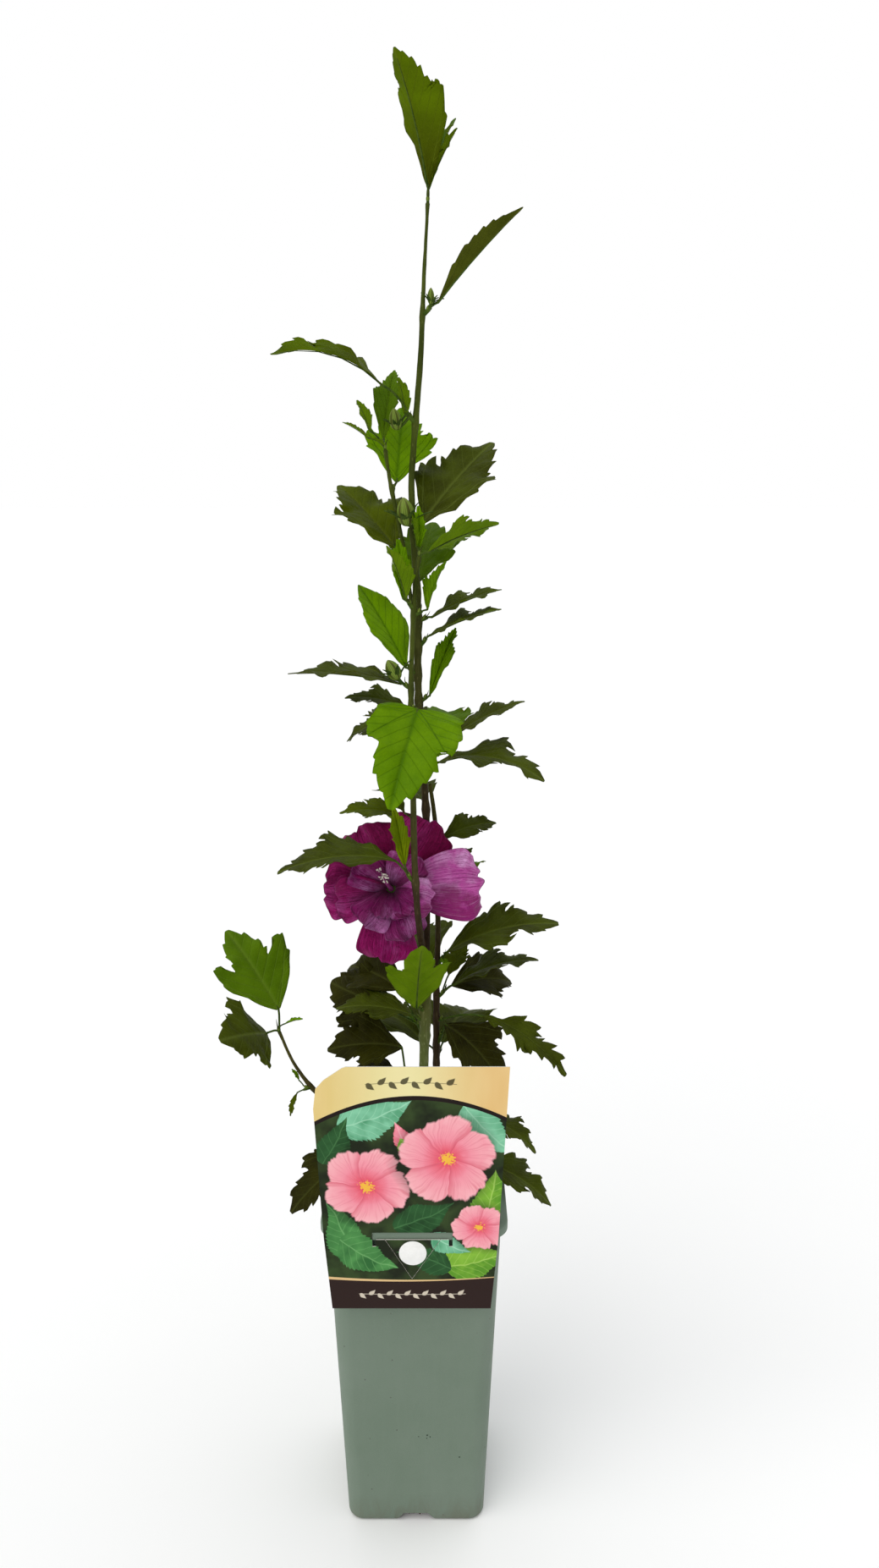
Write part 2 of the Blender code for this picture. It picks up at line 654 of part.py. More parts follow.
def notch_cutters(clearance):
    """One wedge-sided prism through the middle of each side of the foot."""
    foot = NOTCH_FOOT_WIDTH / 2 + clearance
    top = NOTCH_TOP_WIDTH / 2 + clearance
    inner = BODY_FOOT_WIDTH / 2 - NOTCH_DEPTH - clearance
    outer = BODY_TOP_WIDTH / 2 + CUT_BEYOND
    outline = [
        (-foot, -CUT_BEYOND), (foot, -CUT_BEYOND), (foot, 0), (top, NOTCH_HEIGHT + clearance),
        (-top, NOTCH_HEIGHT + clearance), (-foot, 0),
    ]
    for side in range(4):
        rings = [[turned(90 * side) @ Vector((x, y, z)) for y, z in outline] for x in (inner, outer)]
        yield add_object("notch", loft(rings))


def build_pot():
    """The tub is one profile that runs up the outside, over the rim and down the inside."""
    foot = body_width(0)
    flange = POT_HEIGHT - RIM_DROP
    ledge = RIM_WIDTH - 2 * RIM_WALL
    inside = CORNER_RADIUS - POT_WALL
    sections = [
        (foot - 2 * FOOT_ROUND, CORNER_RADIUS - FOOT_ROUND, 0),
        (foot - 0.6 * FOOT_ROUND, CORNER_RADIUS - 0.3 * FOOT_ROUND, 0.3 * FOOT_ROUND),
        (body_width(FOOT_ROUND), CORNER_RADIUS, FOOT_ROUND),
        (body_width(POT_HEIGHT - RIM_WALL), CORNER_RADIUS, POT_HEIGHT - RIM_WALL),
        (ledge, CORNER_RADIUS, POT_HEIGHT - RIM_WALL),
        (ledge, CORNER_RADIUS, flange),
        (RIM_WIDTH, CORNER_RADIUS + RIM_WALL, flange),
        (RIM_WIDTH, CORNER_RADIUS + RIM_WALL, POT_HEIGHT - RIM_ROUND),
        (RIM_WIDTH - 2 * RIM_ROUND, CORNER_RADIUS + RIM_WALL - RIM_ROUND, POT_HEIGHT),
        (body_width(POT_HEIGHT) - 2 * POT_WALL, inside, POT_HEIGHT),
        (foot - 2 * POT_WALL, inside, POT_WALL),
    ]
    pot = add_object("pot", loft([rounded_square(*section) for section in sections]), "pot")
    boolean(pot, list(notch_cutters(0)), "DIFFERENCE")


def build_soil():
    """A block that fills the tub to just below the rim, with a crumbly top."""
    rng = random.Random(5)
    floor = POT_WALL + GAP
    foot_width = body_width(floor) - SOIL_INSET
    top_width = body_width(SOIL_TOP) - SOIL_INSET
    bm = bmesh.new()
    bmesh.ops.create_grid(bm, x_segments=SOIL_CELLS, y_segments=SOIL_CELLS, size=top_width / 2)
    edge = top_width / 2 - GAP / 2
    for vert in bm.verts:
        rise = rng.uniform(-1, 0.7) * SOIL_RELIEF
        away = (vert.co.xy - Vector(SOIL_LEVEL_CENTRE)).length - SOIL_LEVEL_RADIUS
        if away < 0 or max(abs(vert.co.x), abs(vert.co.y)) > edge:
            rise = 0
        if min(abs(vert.co.x), abs(vert.co.y)) > edge:
            vert.co.xy *= SOIL_CORNER
        vert.co.z = SOIL_TOP + rise
    lower = bmesh.ops.extrude_edge_only(bm, edges=[e for e in bm.edges if e.is_boundary])["geom"]
    for vert in lower:
        if isinstance(vert, bmesh.types.BMVert):
            vert.co.xy *= foot_width / top_width
            vert.co.z = floor
    bmesh.ops.contextual_create(bm, geom=[e for e in bm.edges if e.is_boundary])
    soil = add_object("soil", bm, "soil")
    boolean(soil, list(notch_cutters(GAP)), "DIFFERENCE")


def build_card():
    """A thin card whose sides taper to the foot, one top corner cut off, slotted over the rim."""
    rim_level = POT_HEIGHT - RIM_DROP / 2
    cut_across, cut_down = CARD_CORNER
    left = -CARD_TOP_WIDTH / 2
    outline = [
        (-CARD_FOOT_WIDTH / 2, CARD_FOOT), (CARD_FOOT_WIDTH / 2, CARD_FOOT),
        (CARD_RIM_WIDTH / 2, rim_level), (-left, CARD_TOP), (left + cut_across, CARD_TOP),
        (left, CARD_TOP - cut_down), (-CARD_RIM_WIDTH / 2, rim_level),
    ]
    faces = (CARD_FRONT, CARD_FRONT + CARD_THICKNESS)
    card = add_object("card", loft([[(x + CARD_SHIFT, y, z) for x, z in outline] for y in faces]), "card")
    bm = bmesh.new()
    bmesh.ops.create_cube(bm, size=1)
    bmesh.ops.scale(bm, verts=bm.verts[:], vec=(SLOT_WIDTH, CUT_BEYOND, SLOT_HEIGHT))
    bmesh.ops.translate(bm, verts=bm.verts[:], vec=(CARD_SHIFT + SLOT_SHIFT, CARD_FRONT, rim_level))
    boolean(card, [add_object("slot", bm)], "DIFFERENCE")


def main():
    clear_scene()
    build_pot()
    build_soil()
    build_card()
    for name in LIMBS:
        limb(name)
    for name, mass in MASSES.items():
        build_mass(name, mass)
    build_bloom()


main()
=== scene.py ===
"""Potted shrub mallow: the finished look of the young shrub, its nursery pot and its picture card.

Metres, +Z up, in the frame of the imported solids. A turn is an azimuth in degrees about +Z from +X and a
rise is in degrees above the horizontal. The tables of limbs and leaves are in millimetres.
"""

import math
import random
from collections import namedtuple
from contextlib import contextmanager

import bmesh
import bpy
import numpy as np
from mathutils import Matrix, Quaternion, Vector


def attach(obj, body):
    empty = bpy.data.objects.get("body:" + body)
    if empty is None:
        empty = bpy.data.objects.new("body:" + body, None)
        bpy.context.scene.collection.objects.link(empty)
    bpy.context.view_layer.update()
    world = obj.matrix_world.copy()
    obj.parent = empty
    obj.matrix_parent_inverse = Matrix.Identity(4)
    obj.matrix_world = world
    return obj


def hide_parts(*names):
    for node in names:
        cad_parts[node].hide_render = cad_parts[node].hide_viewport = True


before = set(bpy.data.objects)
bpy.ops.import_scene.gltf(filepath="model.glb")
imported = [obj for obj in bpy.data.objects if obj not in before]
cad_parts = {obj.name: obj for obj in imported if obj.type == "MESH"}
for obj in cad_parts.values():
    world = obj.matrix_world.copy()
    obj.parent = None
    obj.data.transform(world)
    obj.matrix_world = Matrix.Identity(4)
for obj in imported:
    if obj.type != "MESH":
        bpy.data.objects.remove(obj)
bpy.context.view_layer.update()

MM = 0.001
UP = Vector((0, 0, 1))
BODY = "root"

# Camera: where it stands, how far it looks down, and its focal length and frame height in pixels.
CAMERA_PLACE = (0.0149, -0.645, 0.646)
CAMERA_DIP = 15
FOCAL_PIXELS = 1392
FRAME_HEIGHT = 1853
SENSOR = 36
BACKDROP_LIGHT = 1.0
FILL_LIGHT = 0.5
# Very soft lamps: the way their light travels, strength, spread in degrees and colour.
LAMPS = (
    ("key", (0.55, 0.60, -0.80), 1.40, 60, (1, 0.985, 0.96)),
    ("sky", (-0.25, -0.35, -1.0), 1.0, 90, (0.95, 0.98, 1)),
)

# Pot.
POT_HEIGHT = 220 * MM
RIM_WIDTH = 110 * MM
RIM_DROP = 5.5 * MM
RIM_WALL = 1.4 * MM
RIM_ROUND = 0.8 * MM
BODY_TOP_WIDTH = 103 * MM
BODY_FOOT_WIDTH = 86 * MM
CORNER_RADIUS = 10 * MM
FOOT_ROUND = 3 * MM
POT_WALL = 1.5 * MM
NOTCH_TOP_WIDTH = 15 * MM
NOTCH_FOOT_WIDTH = 25 * MM
NOTCH_HEIGHT = 6 * MM
NOTCH_DEPTH = 14 * MM
# Small pips left by the mould on the front: x, z and radius in millimetres.
MOULDING_PIPS = (
    (7.3, 68.5, 0.55), (9.1, 67.2, 0.4), (7.0, 66.1, 0.35), (27.3, 51.3, 0.5), (2.0, 67.4, 0.3),
)

# Potting soil. Clods: the grain and the strength of each relief, in millimetres.
SOIL_TOP = 208 * MM
SOIL_LEVEL = SOIL_TOP - 0.6 * MM
SOIL_CELLS = 70
CLODS = ((9, 2.2), (3, 1.6), (1.3, 0.7))
CRUMBS = 900
GRIT = 60
CRUMB_SIZES = (0.5, 1.7)
GRIT_SIZES = (0.5, 1.1)
NOTCH_CRUMBS = 70

# Picture card. Its top left corner is swept by short straight cuts: how far across each lies, and its lean.
# The slot, its hooks, the tongue and the disc are in millimetres.
CARD_THICKNESS = 0.6 * MM
CARD_FRONT = -RIM_WIDTH / 2 - 0.9 * MM
CARD_TOP = 326 * MM
CARD_FOOT = 169 * MM
CARD_TOP_WIDTH = 111 * MM
CARD_RIM_WIDTH = 101 * MM
CARD_FOOT_WIDTH = 93 * MM
CARD_SHIFT = -1.5 * MM
CARD_CORNER = (19 * MM, 14 * MM)
CORNER_CUTS = ((0.16, 1.45), (0.42, 0.85), (0.68, 0.62), (0.95, 0.35))
SLOT = (-0.75, 217.9, 46.5, 4.8)
SLOT_HOOK = (2.2, 9)
TONGUE = ((-16.7, 215.8), (-1.1, 189.4), (15.6, 215.8))
DISC = (-0.6, 206.6, 8)

# Stations of each limb from foot to tip: x, y, z and radius.
LIMBS = {
    "trunk": [
        (5, 0, 208.3, 4.6), (5, 0, 216, 3.4), (5, 0, 250, 3), (5.5, 0, 300, 2.8),
        (6.5, 0, 335, 3), (6.5, 0, 350, 4), (6.5, 0, 356, 4),
    ],
    "stem_front": [
        (6.5, -2.7, 356.4, 2.1), (5.5, -10, 372, 2), (2.5, -24, 406, 1.8), (1, -27, 440, 1.8),
        (0.5, -24, 475, 1.6), (-0.5, -16, 530, 1.4), (1.5, -10, 580, 1.2), (4, -6, 600, 1),
    ],
    "stem_leader": [
        (6.5, 2.7, 356.4, 2.1), (7.5, 11, 390, 1.9), (7, 11, 455, 2), (3, 7, 525, 2),
        (3, 5.5, 570, 2), (0, 4, 630, 1.7), (1, 4, 655, 1.6), (5, 1.5, 700, 1.5),
        (7, 0, 740, 1), (9, 0, 774, 0.8),
    ],
    "stem_slender": [
        (13, 18, 208.3, 3.2), (13, 18, 216, 2.2), (13, 18, 260, 2), (13, 18, 330, 1.8),
        (14, 20, 380, 1.6), (13, 20, 435, 1.4), (9.5, 17, 468, 1.1),
    ],
    "shoot_upper_left": [
        (-0.5, 5.5, 574, 1.2), (-4, 5, 600, 1.2), (-8, 3, 622, 1.1), (-11.5, 0, 640, 1),
        (-13.5, -2, 655, 0.9),
    ],
    "shoot_low_left": [
        (0.6, -3, 222, 1.6), (-11, -6, 234, 1.5), (-34, -14, 262, 1.4), (-57, -20, 289, 1.3),
        (-70, -20, 308, 1), (-78, -22, 330, 0.8),
    ],
    "shoot_basal": [
        (-3.5, -7, 208.3, 1.6), (-3, -7, 216, 1.1), (-1.5, -6, 260, 1), (-5.5, -5, 292, 0.9),
    ],
}
# How far each limb's foot is carried into what it grows from, so that the fork and the feet close up.
LIMB_SINK = {
    "trunk": (0, 0, -4), "stem_front": (0, 1.5, -9), "stem_leader": (0, -1.5, -9), "stem_slender": (0, 0, -4),
    "shoot_upper_left": (3.5, 0, -4), "shoot_low_left": (4, 2.5, -3), "shoot_basal": (0, 0, -4),
}
LIMB_BARK = {
    "trunk": "trunk", "stem_front": "green", "stem_leader": "leader", "stem_slender": "brown",
    "shoot_upper_left": "green", "shoot_low_left": "shoot", "shoot_basal": "green",
}
LIMB_STEP = 2.0
NODE_SWELL = 0.35
NODE_REACH = 3.5
# Bark relief: grain and strength in millimetres and how far it is drawn out upwards, less strong on stems.
BARK_RELIEF = ((1.6, 0.55, 6), (0.7, 0.25, 3))
STEM_RELIEF = 0.6

# Outlines from base to tip: how far along the midrib, how far along the edge, and half width. Then the
# teeth on each stretch between two rows.
Outline = namedtuple("Outline", "rows teeth")
LOBED = Outline([
    (0.00, 0.00, 0.06), (0.10, 0.11, 0.32), (0.20, 0.26, 0.64), (0.29, 0.41, 0.90), (0.36, 0.54, 1.00),
    (0.42, 0.58, 0.84), (0.49, 0.57, 0.63), (0.60, 0.64, 0.60), (0.72, 0.75, 0.52), (0.85, 0.87, 0.30),
    (1.00, 1.00, 0.02),
], (0, 0, 1, 1, 1, 0, 1, 1, 1, 1))
FULL = Outline([
    (0.00, 0.00, 0.05), (0.12, 0.13, 0.34), (0.26, 0.29, 0.66), (0.42, 0.48, 0.93), (0.52, 0.67, 1.00),
    (0.61, 0.69, 0.80), (0.72, 0.75, 0.62), (0.87, 0.90, 0.34), (1.00, 1.00, 0.02),
], (0, 0, 1, 1, 2, 1, 2, 2))
CLEFT = Outline([
    (0.00, 0.00, 0.06), (0.10, 0.13, 0.40), (0.19, 0.31, 0.76), (0.27, 0.50, 0.97), (0.33, 0.66, 1.00),
    (0.39, 0.64, 0.80), (0.47, 0.55, 0.50), (0.60, 0.63, 0.48), (0.72, 0.75, 0.44), (0.86, 0.88, 0.25),
    (1.00, 1.00, 0.02),
], (0, 0, 1, 1, 1, 0, 1, 1, 1, 1))
OVAL = Outline([
    (0.00, 0.00, 0.05), (0.14, 0.15, 0.45), (0.30, 0.32, 0.86), (0.48, 0.50, 1.00), (0.66, 0.68, 0.88),
    (0.84, 0.86, 0.48), (1.00, 1.00, 0.03),
], (0, 1, 1, 2, 2, 1))
BROAD = Outline([
    (0.00, 0.00, 0.06), (0.08, -0.02, 0.42), (0.15, 0.02, 0.74), (0.23, 0.16, 0.92), (0.33, 0.36, 1.00),
    (0.40, 0.46, 0.86), (0.47, 0.49, 0.66), (0.60, 0.62, 0.62), (0.72, 0.74, 0.50), (0.86, 0.88, 0.26),
    (1.00, 1.00, 0.02),
], (0, 0, 1, 1, 1, 0, 1, 1, 1, 1))
NARROW = Outline([
    (0.00, 0.00, 0.12), (0.25, 0.28, 0.80), (0.60, 0.64, 0.86), (1.00, 1.00, 0.08),
], (0, 2, 2))
PETAL = Outline([
    (0.00, 0.00, 0.18), (0.28, 0.30, 0.56), (0.55, 0.59, 0.86), (0.80, 0.84, 1.00), (1.00, 0.93, 0.68),
], ())

# A form: half width in lengths, how far it arches and folds, its outline and how strong its teeth are.
Form = namedtuple("Form", "width arch fold outline bite", defaults=(1,))
FORMS = {
    "open": Form(0.38, 15, 10, LOBED),
    "broad": Form(0.44, 20, 5, LOBED),
    "cleft": Form(0.46, 20, 5, CLEFT, 0.8),
    "great": Form(0.43, 30, 15, BROAD, 0.9),
    "crown": Form(0.26, 20, 25, FULL, 0.5),
    "oval": Form(0.30, 15, 10, OVAL, 0.35),
    "lance": Form(0.19, 20, 20, FULL, 0.5),
    "trailing": Form(0.12, 60, 10, LOBED, 1.2),
    "slim": Form(0.30, 20, 10, LOBED),
    "upright": Form(0.28, 20, 25, LOBED, 0.7),
    "keeled": Form(0.15, 15, 35, FULL, 0.6),
    "folded": Form(0.115, 10, 50, OVAL, 0.3),
    "arching": Form(0.32, 40, 10, LOBED),
    "drooping": Form(0.30, 60, 10, LOBED),
    "shade": Form(0.40, 50, 15, LOBED),
    "petiole": Form(0.15, 15, 25, NARROW),
    "young": Form(0.20, 20, 20, NARROW),
    "petal": Form(0.44, -18, 8, PETAL),
    "inner petal": Form(0.46, 30, 14, PETAL),
}

# A leaf: its form, its stalk from the limb's axis and its blade, both as turn, rise and length, how far
# the blade rolls about its midrib, its tone and how full its two halves are. A bud: its stalk, its width
# and length, and its axis.
Leaf = namedtuple("Leaf", "form stalk blade roll tone halves", defaults=(0, "dark", (1, 1)))
Bud = namedtuple("Bud", "stalk size axis")
Mass = namedtuple("Mass", "limb height leaves buds young", defaults=((), 0))

# Leaves given the deep tone are coloured near-black as painted shade.
MASSES = {
    "foliage_tip": Mass("stem_leader", 774, [
        Leaf("crown", (0, 90, 8), (-120, 60, 62), roll=-5, tone="olive", halves=(1.05, 0.68)),
        Leaf("young", (20, 85, 8), (30, 65, 36), tone="mid"),
        Leaf("petiole", (-20, 85, 7), (-20, 60, 30), tone="olive"),
    ]),
    "foliage_upper_right": Mass("stem_leader", 722, [
        Leaf("folded", (-15, 35, 10), (-30, 40, 62), roll=-15, tone="dark"),
    ], [Bud((-30, 60, 10), (3.5, 8), (-60, 90))]),
    "foliage_upper_left": Mass("stem_leader", 669, [
        Leaf("drooping", (-140, 40, 28), (170, 15, 64), roll=5, tone="olive"),
        Leaf("young", (-145, 30, 7), (-120, 70, 20), tone="fresh"),
    ], [Bud((-165, 10, 11), (6.5, 11), (-150, 80))]),
    "foliage_twig_tip": Mass("shoot_upper_left", 655, [
        Leaf("lance", (100, 40, 9), (75, 60, 42), roll=-5, tone="mid"),
        Leaf("young", (-160, 50, 13), (-125, 55, 18), tone="lime"),
        Leaf("young", (-165, 35, 11), (170, 30, 16), tone="lime"),
    ], young=1),
    "foliage_twig": Mass("shoot_upper_left", 634, [
        Leaf("open", (75, 30, 10), (85, 55, 48), roll=10, tone="fresh"),
    ]),
    "foliage_eye_right": Mass("stem_leader", 613, [
        Leaf("open", (-25, 40, 7), (40, 40, 66), roll=15),
    ], [Bud((-115, 50, 14), (9.5, 15), (-150, 80))]),
    "foliage_eye_left": Mass("shoot_upper_left", 603, [
        Leaf("open", (-170, 20, 5), (135, 35, 56), roll=-10, tone="olive"),
    ]),
    "foliage_front_tip": Mass("stem_front", 600, [
        Leaf("slim", (-20, 30, 6), (15, 20, 42), roll=-35, tone="lime"),
        Leaf("petiole", (90, 80, 5), (100, 85, 22), tone="fresh"),
        Leaf("petiole", (-150, 75, 6), (-150, 80, 18), tone="fresh"),
    ]),
    "foliage_front_upper": Mass("stem_front", 573, [
        Leaf("upright", (-155, 50, 7), (-135, 65, 32), tone="bright"),
        Leaf("petiole", (-170, 45, 8), (110, 75, 32), tone="fresh"),
    ]),
    "foliage_front_right": Mass("stem_front", 570, [
        Leaf("upright", (10, 20, 8), (30, 65, 28), tone="bright"),
    ]),
    "foliage_right_a": Mass("stem_leader", 565, [
        Leaf("slim", (-15, 15, 8), (10, 20, 42), roll=5, tone="olive"),
    ]),
    "foliage_right_b": Mass("stem_leader", 550, [
        Leaf("slim", (-20, 45, 10), (0, 20, 42), roll=5, tone="olive"),
    ]),
    "foliage_left_a": Mass("stem_leader", 535, [
        Leaf("oval", (-160, 30, 8), (150, 55, 54), roll=-15, tone="fresh", halves=(0.75, 0.85)),
    ], young=1),
    "foliage_right_c": Mass("stem_leader", 519, [
        Leaf("keeled", (0, 30, 7), (45, 60, 42), roll=30, tone="bright"),
    ]),
    "foliage_left_b": Mass("stem_leader", 510, [
        Leaf("arching", (-150, 35, 10), (180, 10, 36), roll=-15),
        Leaf("arching", (180, 0, 9), (160, -25, 40), roll=-20),
    ]),
    "foliage_front_left": Mass("stem_front", 531, [
        Leaf("slim", (145, 15, 7), (180, 5, 62)),
    ], [Bud((170, 45, 14), (8, 12), (150, 55))], young=1),
    "foliage_front_big": Mass("stem_front", 520, [
        Leaf("great", (-65, 10, 9), (-108, -45, 63), roll=-15, tone="bright", halves=(1.08, 0.82)),
    ]),
    "foliage_mid_right": Mass("stem_leader", 481, [
        Leaf("slim", (5, 45, 26), (5, 25, 44), roll=5),
        Leaf("drooping", (-30, 20, 10), (-20, -5, 66), roll=5),
    ], young=1),
    "foliage_mid_left": Mass("stem_leader", 438, [
        Leaf("arching", (170, 40, 18), (-175, 5, 38), roll=-10, tone="olive"),
        Leaf("slim", (-170, 50, 20), (150, 40, 24)),
    ]),
    "foliage_bloom_left": Mass("stem_front", 423, [
        Leaf("arching", (-175, 50, 18), (-175, -5, 66), roll=-5),
        Leaf("petiole", (180, 60, 12), (110, 55, 34), tone="lime"),
    ]),
    "foliage_bloom_right": Mass("stem_slender", 429, [Leaf("arching", (0, 60, 6), (20, 10, 36), roll=20)]),
    "foliage_bloom_under": Mass("stem_slender", 402, [
        Leaf("slim", (-20, 60, 16), (40, 30, 20), tone="olive"),
    ]),
    "foliage_fork": Mass("trunk", 333, [
        Leaf("cleft", (-120, 30, 12), (-80, 65, 54), tone="bright", halves=(0.72, 0.72)),
    ]),
    "foliage_right_d": Mass("stem_slender", 354, [
        Leaf("arching", (-30, 55, 13), (0, 15, 70), roll=10),
    ], young=1),
    "foliage_right_e": Mass("stem_slender", 333, [
        Leaf("arching", (-10, 40, 15), (5, 15, 54), roll=-5),
        Leaf("slim", (20, 60, 16), (65, 25, 28), tone="olive"),
        Leaf("shade", (45, 15, 14), (30, -10, 46), roll=30, tone="deep"),
    ]),
    "foliage_right_f": Mass("stem_slender", 318, [
        Leaf("trailing", (-20, 15, 30), (-35, -20, 66), roll=15),
    ]),
    "foliage_right_g": Mass("stem_slender", 300, [
        Leaf("shade", (-20, 70, 17), (-25, -40, 50), roll=20, tone="deep"),
    ]),
    "foliage_left_c": Mass("trunk", 316, [
        Leaf("shade", (155, 60, 32), (135, 0, 48), roll=-30, tone="deep"),
        Leaf("shade", (145, 25, 24), (150, 10, 50), roll=-60, tone="deep"),
    ], young=1),
    "foliage_left_d": Mass("trunk", 326, [Leaf("arching", (-150, 35, 11), (180, 5, 46), roll=-10)]),
    "foliage_left_e": Mass("shoot_basal", 292, [
        Leaf("shade", (120, 75, 18), (-175, 0, 46), roll=-30, tone="deep"),
        Leaf("arching", (-170, 40, 8), (160, -10, 30), tone="deep"),
    ]),
    "foliage_low_left": Mass("shoot_low_left", 330, [
        Leaf("cleft", (100, 85, 14), (145, 45, 56), roll=-15, tone="mid", halves=(0.9, 1)),
        Leaf("broad", (-150, 10, 8), (-115, 20, 48), roll=-45, tone="dark"),
        Leaf("young", (0, 60, 6), (-10, 20, 12), tone="fresh"),
    ]),
    "foliage_low_left_bud": Mass("shoot_low_left", 294, [
        Leaf("petiole", (-150, -10, 9), (-130, -65, 14), tone="olive"),
        Leaf("young", (180, 30, 8), (150, 50, 8), tone="fresh"),
    ]),
    "foliage_pot_left": Mass("trunk", 229, [
        Leaf("arching", (175, 10, 40), (-150, -30, 56), roll=-10, tone="deep"),
    ]),
    "foliage_pot_right": Mass("stem_slender", 226, [
        Leaf("drooping", (-25, 50, 40), (-30, -15, 46), roll=-10),
        Leaf("arching", (-35, 10, 32), (-10, -30, 54)),
    ]),
    "foliage_back_a": Mass("stem_leader", 582, [Leaf("open", (80, 30, 8), (80, 35, 52), tone="mid")]),
    "foliage_back_b": Mass("stem_leader", 490, [
        Leaf("arching", (80, 20, 10), (75, 5, 62), tone="mid"),
        Leaf("arching", (110, 20, 12), (115, 5, 58)),
    ]),
    "foliage_back_c": Mass("stem_leader", 455, [Leaf("arching", (100, 20, 10), (110, -15, 60))]),
    "foliage_back_d": Mass("stem_slender", 392, [
        Leaf("arching", (80, 30, 12), (75, 0, 60), tone="mid"),
        Leaf("arching", (120, 25, 14), (125, -5, 58)),
    ]),
    "foliage_back_e": Mass("stem_slender", 345, [Leaf("shade", (110, 30, 14), (110, -5, 62))]),
    "foliage_back_f": Mass("stem_slender", 290, [
        Leaf("shade", (70, 30, 14), (70, -5, 60)),
        Leaf("shade", (125, 25, 16), (130, 0, 58)),
    ]),
}

# Twig rule, as in the solids.
SPUR_REACH = 3.5
SPUR_RADIUS = 1.0
SPUR_RADII = (1.5, 1.25, 1.05, 0.55)
SPUR_ROOTS = (0.25, 0.85)
SPUR_LEAST_SLOPE = 0.35
STALK_RADIUS = 0.62
STALK_SAG = 0.08
FOLD_AT_ENDS = 0.2
FOLD_RATE = 4
YOUNG_LENGTH = (9, 16)
YOUNG_CLEARANCE = 3.0
YOUNG_TRIES = 6

# Fine form of a leaf, in parts of its length: sheet, teeth, edge waves and the quilting between veins.
SHEET = 0.42 * MM
TOOTH_DEPTH = 0.045
MOST_TEETH = 20
TOOTH_SPREAD = (0.6, 1.3)
FULLNESS_SPREAD = (0.94, 1.04)
TOOTH_PHASES = ((0.0, 0.0), (0.3, 0.3), (0.55, 0.65), (0.8, 1.0), (0.9, 0.6))
WAVE = 0.030
RIPPLE_RATES = (2.3, 5.1)
QUILT = 0.010
ACROSS = (0, 0.08, 0.22, 0.38, 0.54, 0.70, 0.85, 1)
LOBE_SLOPE = 0.57
LOWER_SLOPE = 0.18
SIDE_SLOPE = 0.45
SIDE_RATE = 7.5
OUTER_SLOPE = 0.15
OUTER_RATE = 12

# Bloom: where it stands and faces, and the lean of its column of stamens up and aside at the tip.
BLOOM_LIMB = "stem_leader"
BLOOM_HEIGHT = 384
BLOOM_CENTRE = Vector((-13, 0, 410)) * MM
BLOOM_FACING = (-90, 10)
BLOOM_EYE = 1.5 * MM
COLUMN_LEAN = (-6, 13)
COLUMN_RADII = (2.2, 1.4, 1.1, 0.9, 0.5)
COLUMN_STEPS = (-1, 3, 7, 11, 15)
STAMENS = 36
STAMEN_ROOTS = (10, 15)
STAMEN_REACH = (1.4, 2.6)
STAMEN_LIFT = (0.3, 1.4)
STAMEN_RADIUS = 0.16
ANTHER = (0.8, 0.95)
# Cup of the calyx: how far forward each ring stands and its radius.
CALYX_CUP = [(-14, 1.6), (-13, 3.2), (-11, 4.9), (-8, 5.9), (-4, 6.3), (0, 6.5), (1.0, 6.0), (1.2, 2.0)]
CALYX_LOBES = 5
CALYX_LOBE_LENGTH = 15 * MM
CALYX_STALK_RADIUS = 1.2 * MM
# Rings of petals: form, ruffle and seed, then each petal's clock angle, length, cup and look.
PETAL_RINGS = [
    ("petal", 0.06, 11, [(180, 38, 6, 1), (115, 40, 1, 0), (60, 45, -3, 0), (5, 52, 6, 2), (-95, 42, 2, 1)]),
    ("inner petal", 0.10, 12, [
        (188, 33, 18, 1), (140, 28, 22, 3), (60, 28, 28, 3), (-10, 27, 30, 2), (-68, 30, 20, 3),
        (-130, 27, 30, 3),
    ]),
    ("inner petal", 0.11, 13, [(98, 22, 18, 1), (-35, 21, 42, 3), (-105, 20, 46, 3)]),
]
PETAL_SHEET = 0.4 * MM
PETAL_ROWS = 26
PETAL_COLUMNS = 22

# Buds and the narrow bracts round them, and how far a stalk runs on along the blade as its midrib.
BRACT = Outline([(0.0, 0.0, 0.55), (0.4, 0.4, 1.0), (1.0, 1.0, 0.08)], (0, 0))
BUD_BRACT = Form(0.12, 40, 10, BRACT)
CALYX_LOBE = Form(0.42, -30, 15, BRACT)
BUD_PROFILE = [
    (-0.50, 0.25), (-0.46, 0.52), (-0.36, 0.80), (-0.22, 0.96), (-0.06, 1.0), (0.10, 0.94), (0.24, 0.78),
    (0.36, 0.55), (0.45, 0.30), (0.50, 0.06),
]
BUD_SIDES = 20
BUD_SEAMS = 5
BUD_BRACTS = 7
BUD_STALK_RADII = (0.8, 0.8, 0.8, 0.8, 0.8, 0.95, 1.1)
EYE_BUD = (1.9, 3.4)
RIB_REACH = (0.06, 0.2, 0.4, 0.6, 0.8, 0.92)
STIPULE_RADII = (0.4, 0.38, 0.34, 0.28, 0.22, 0.15, 0.08)
STIPULE_LEAST_LEAF = 25
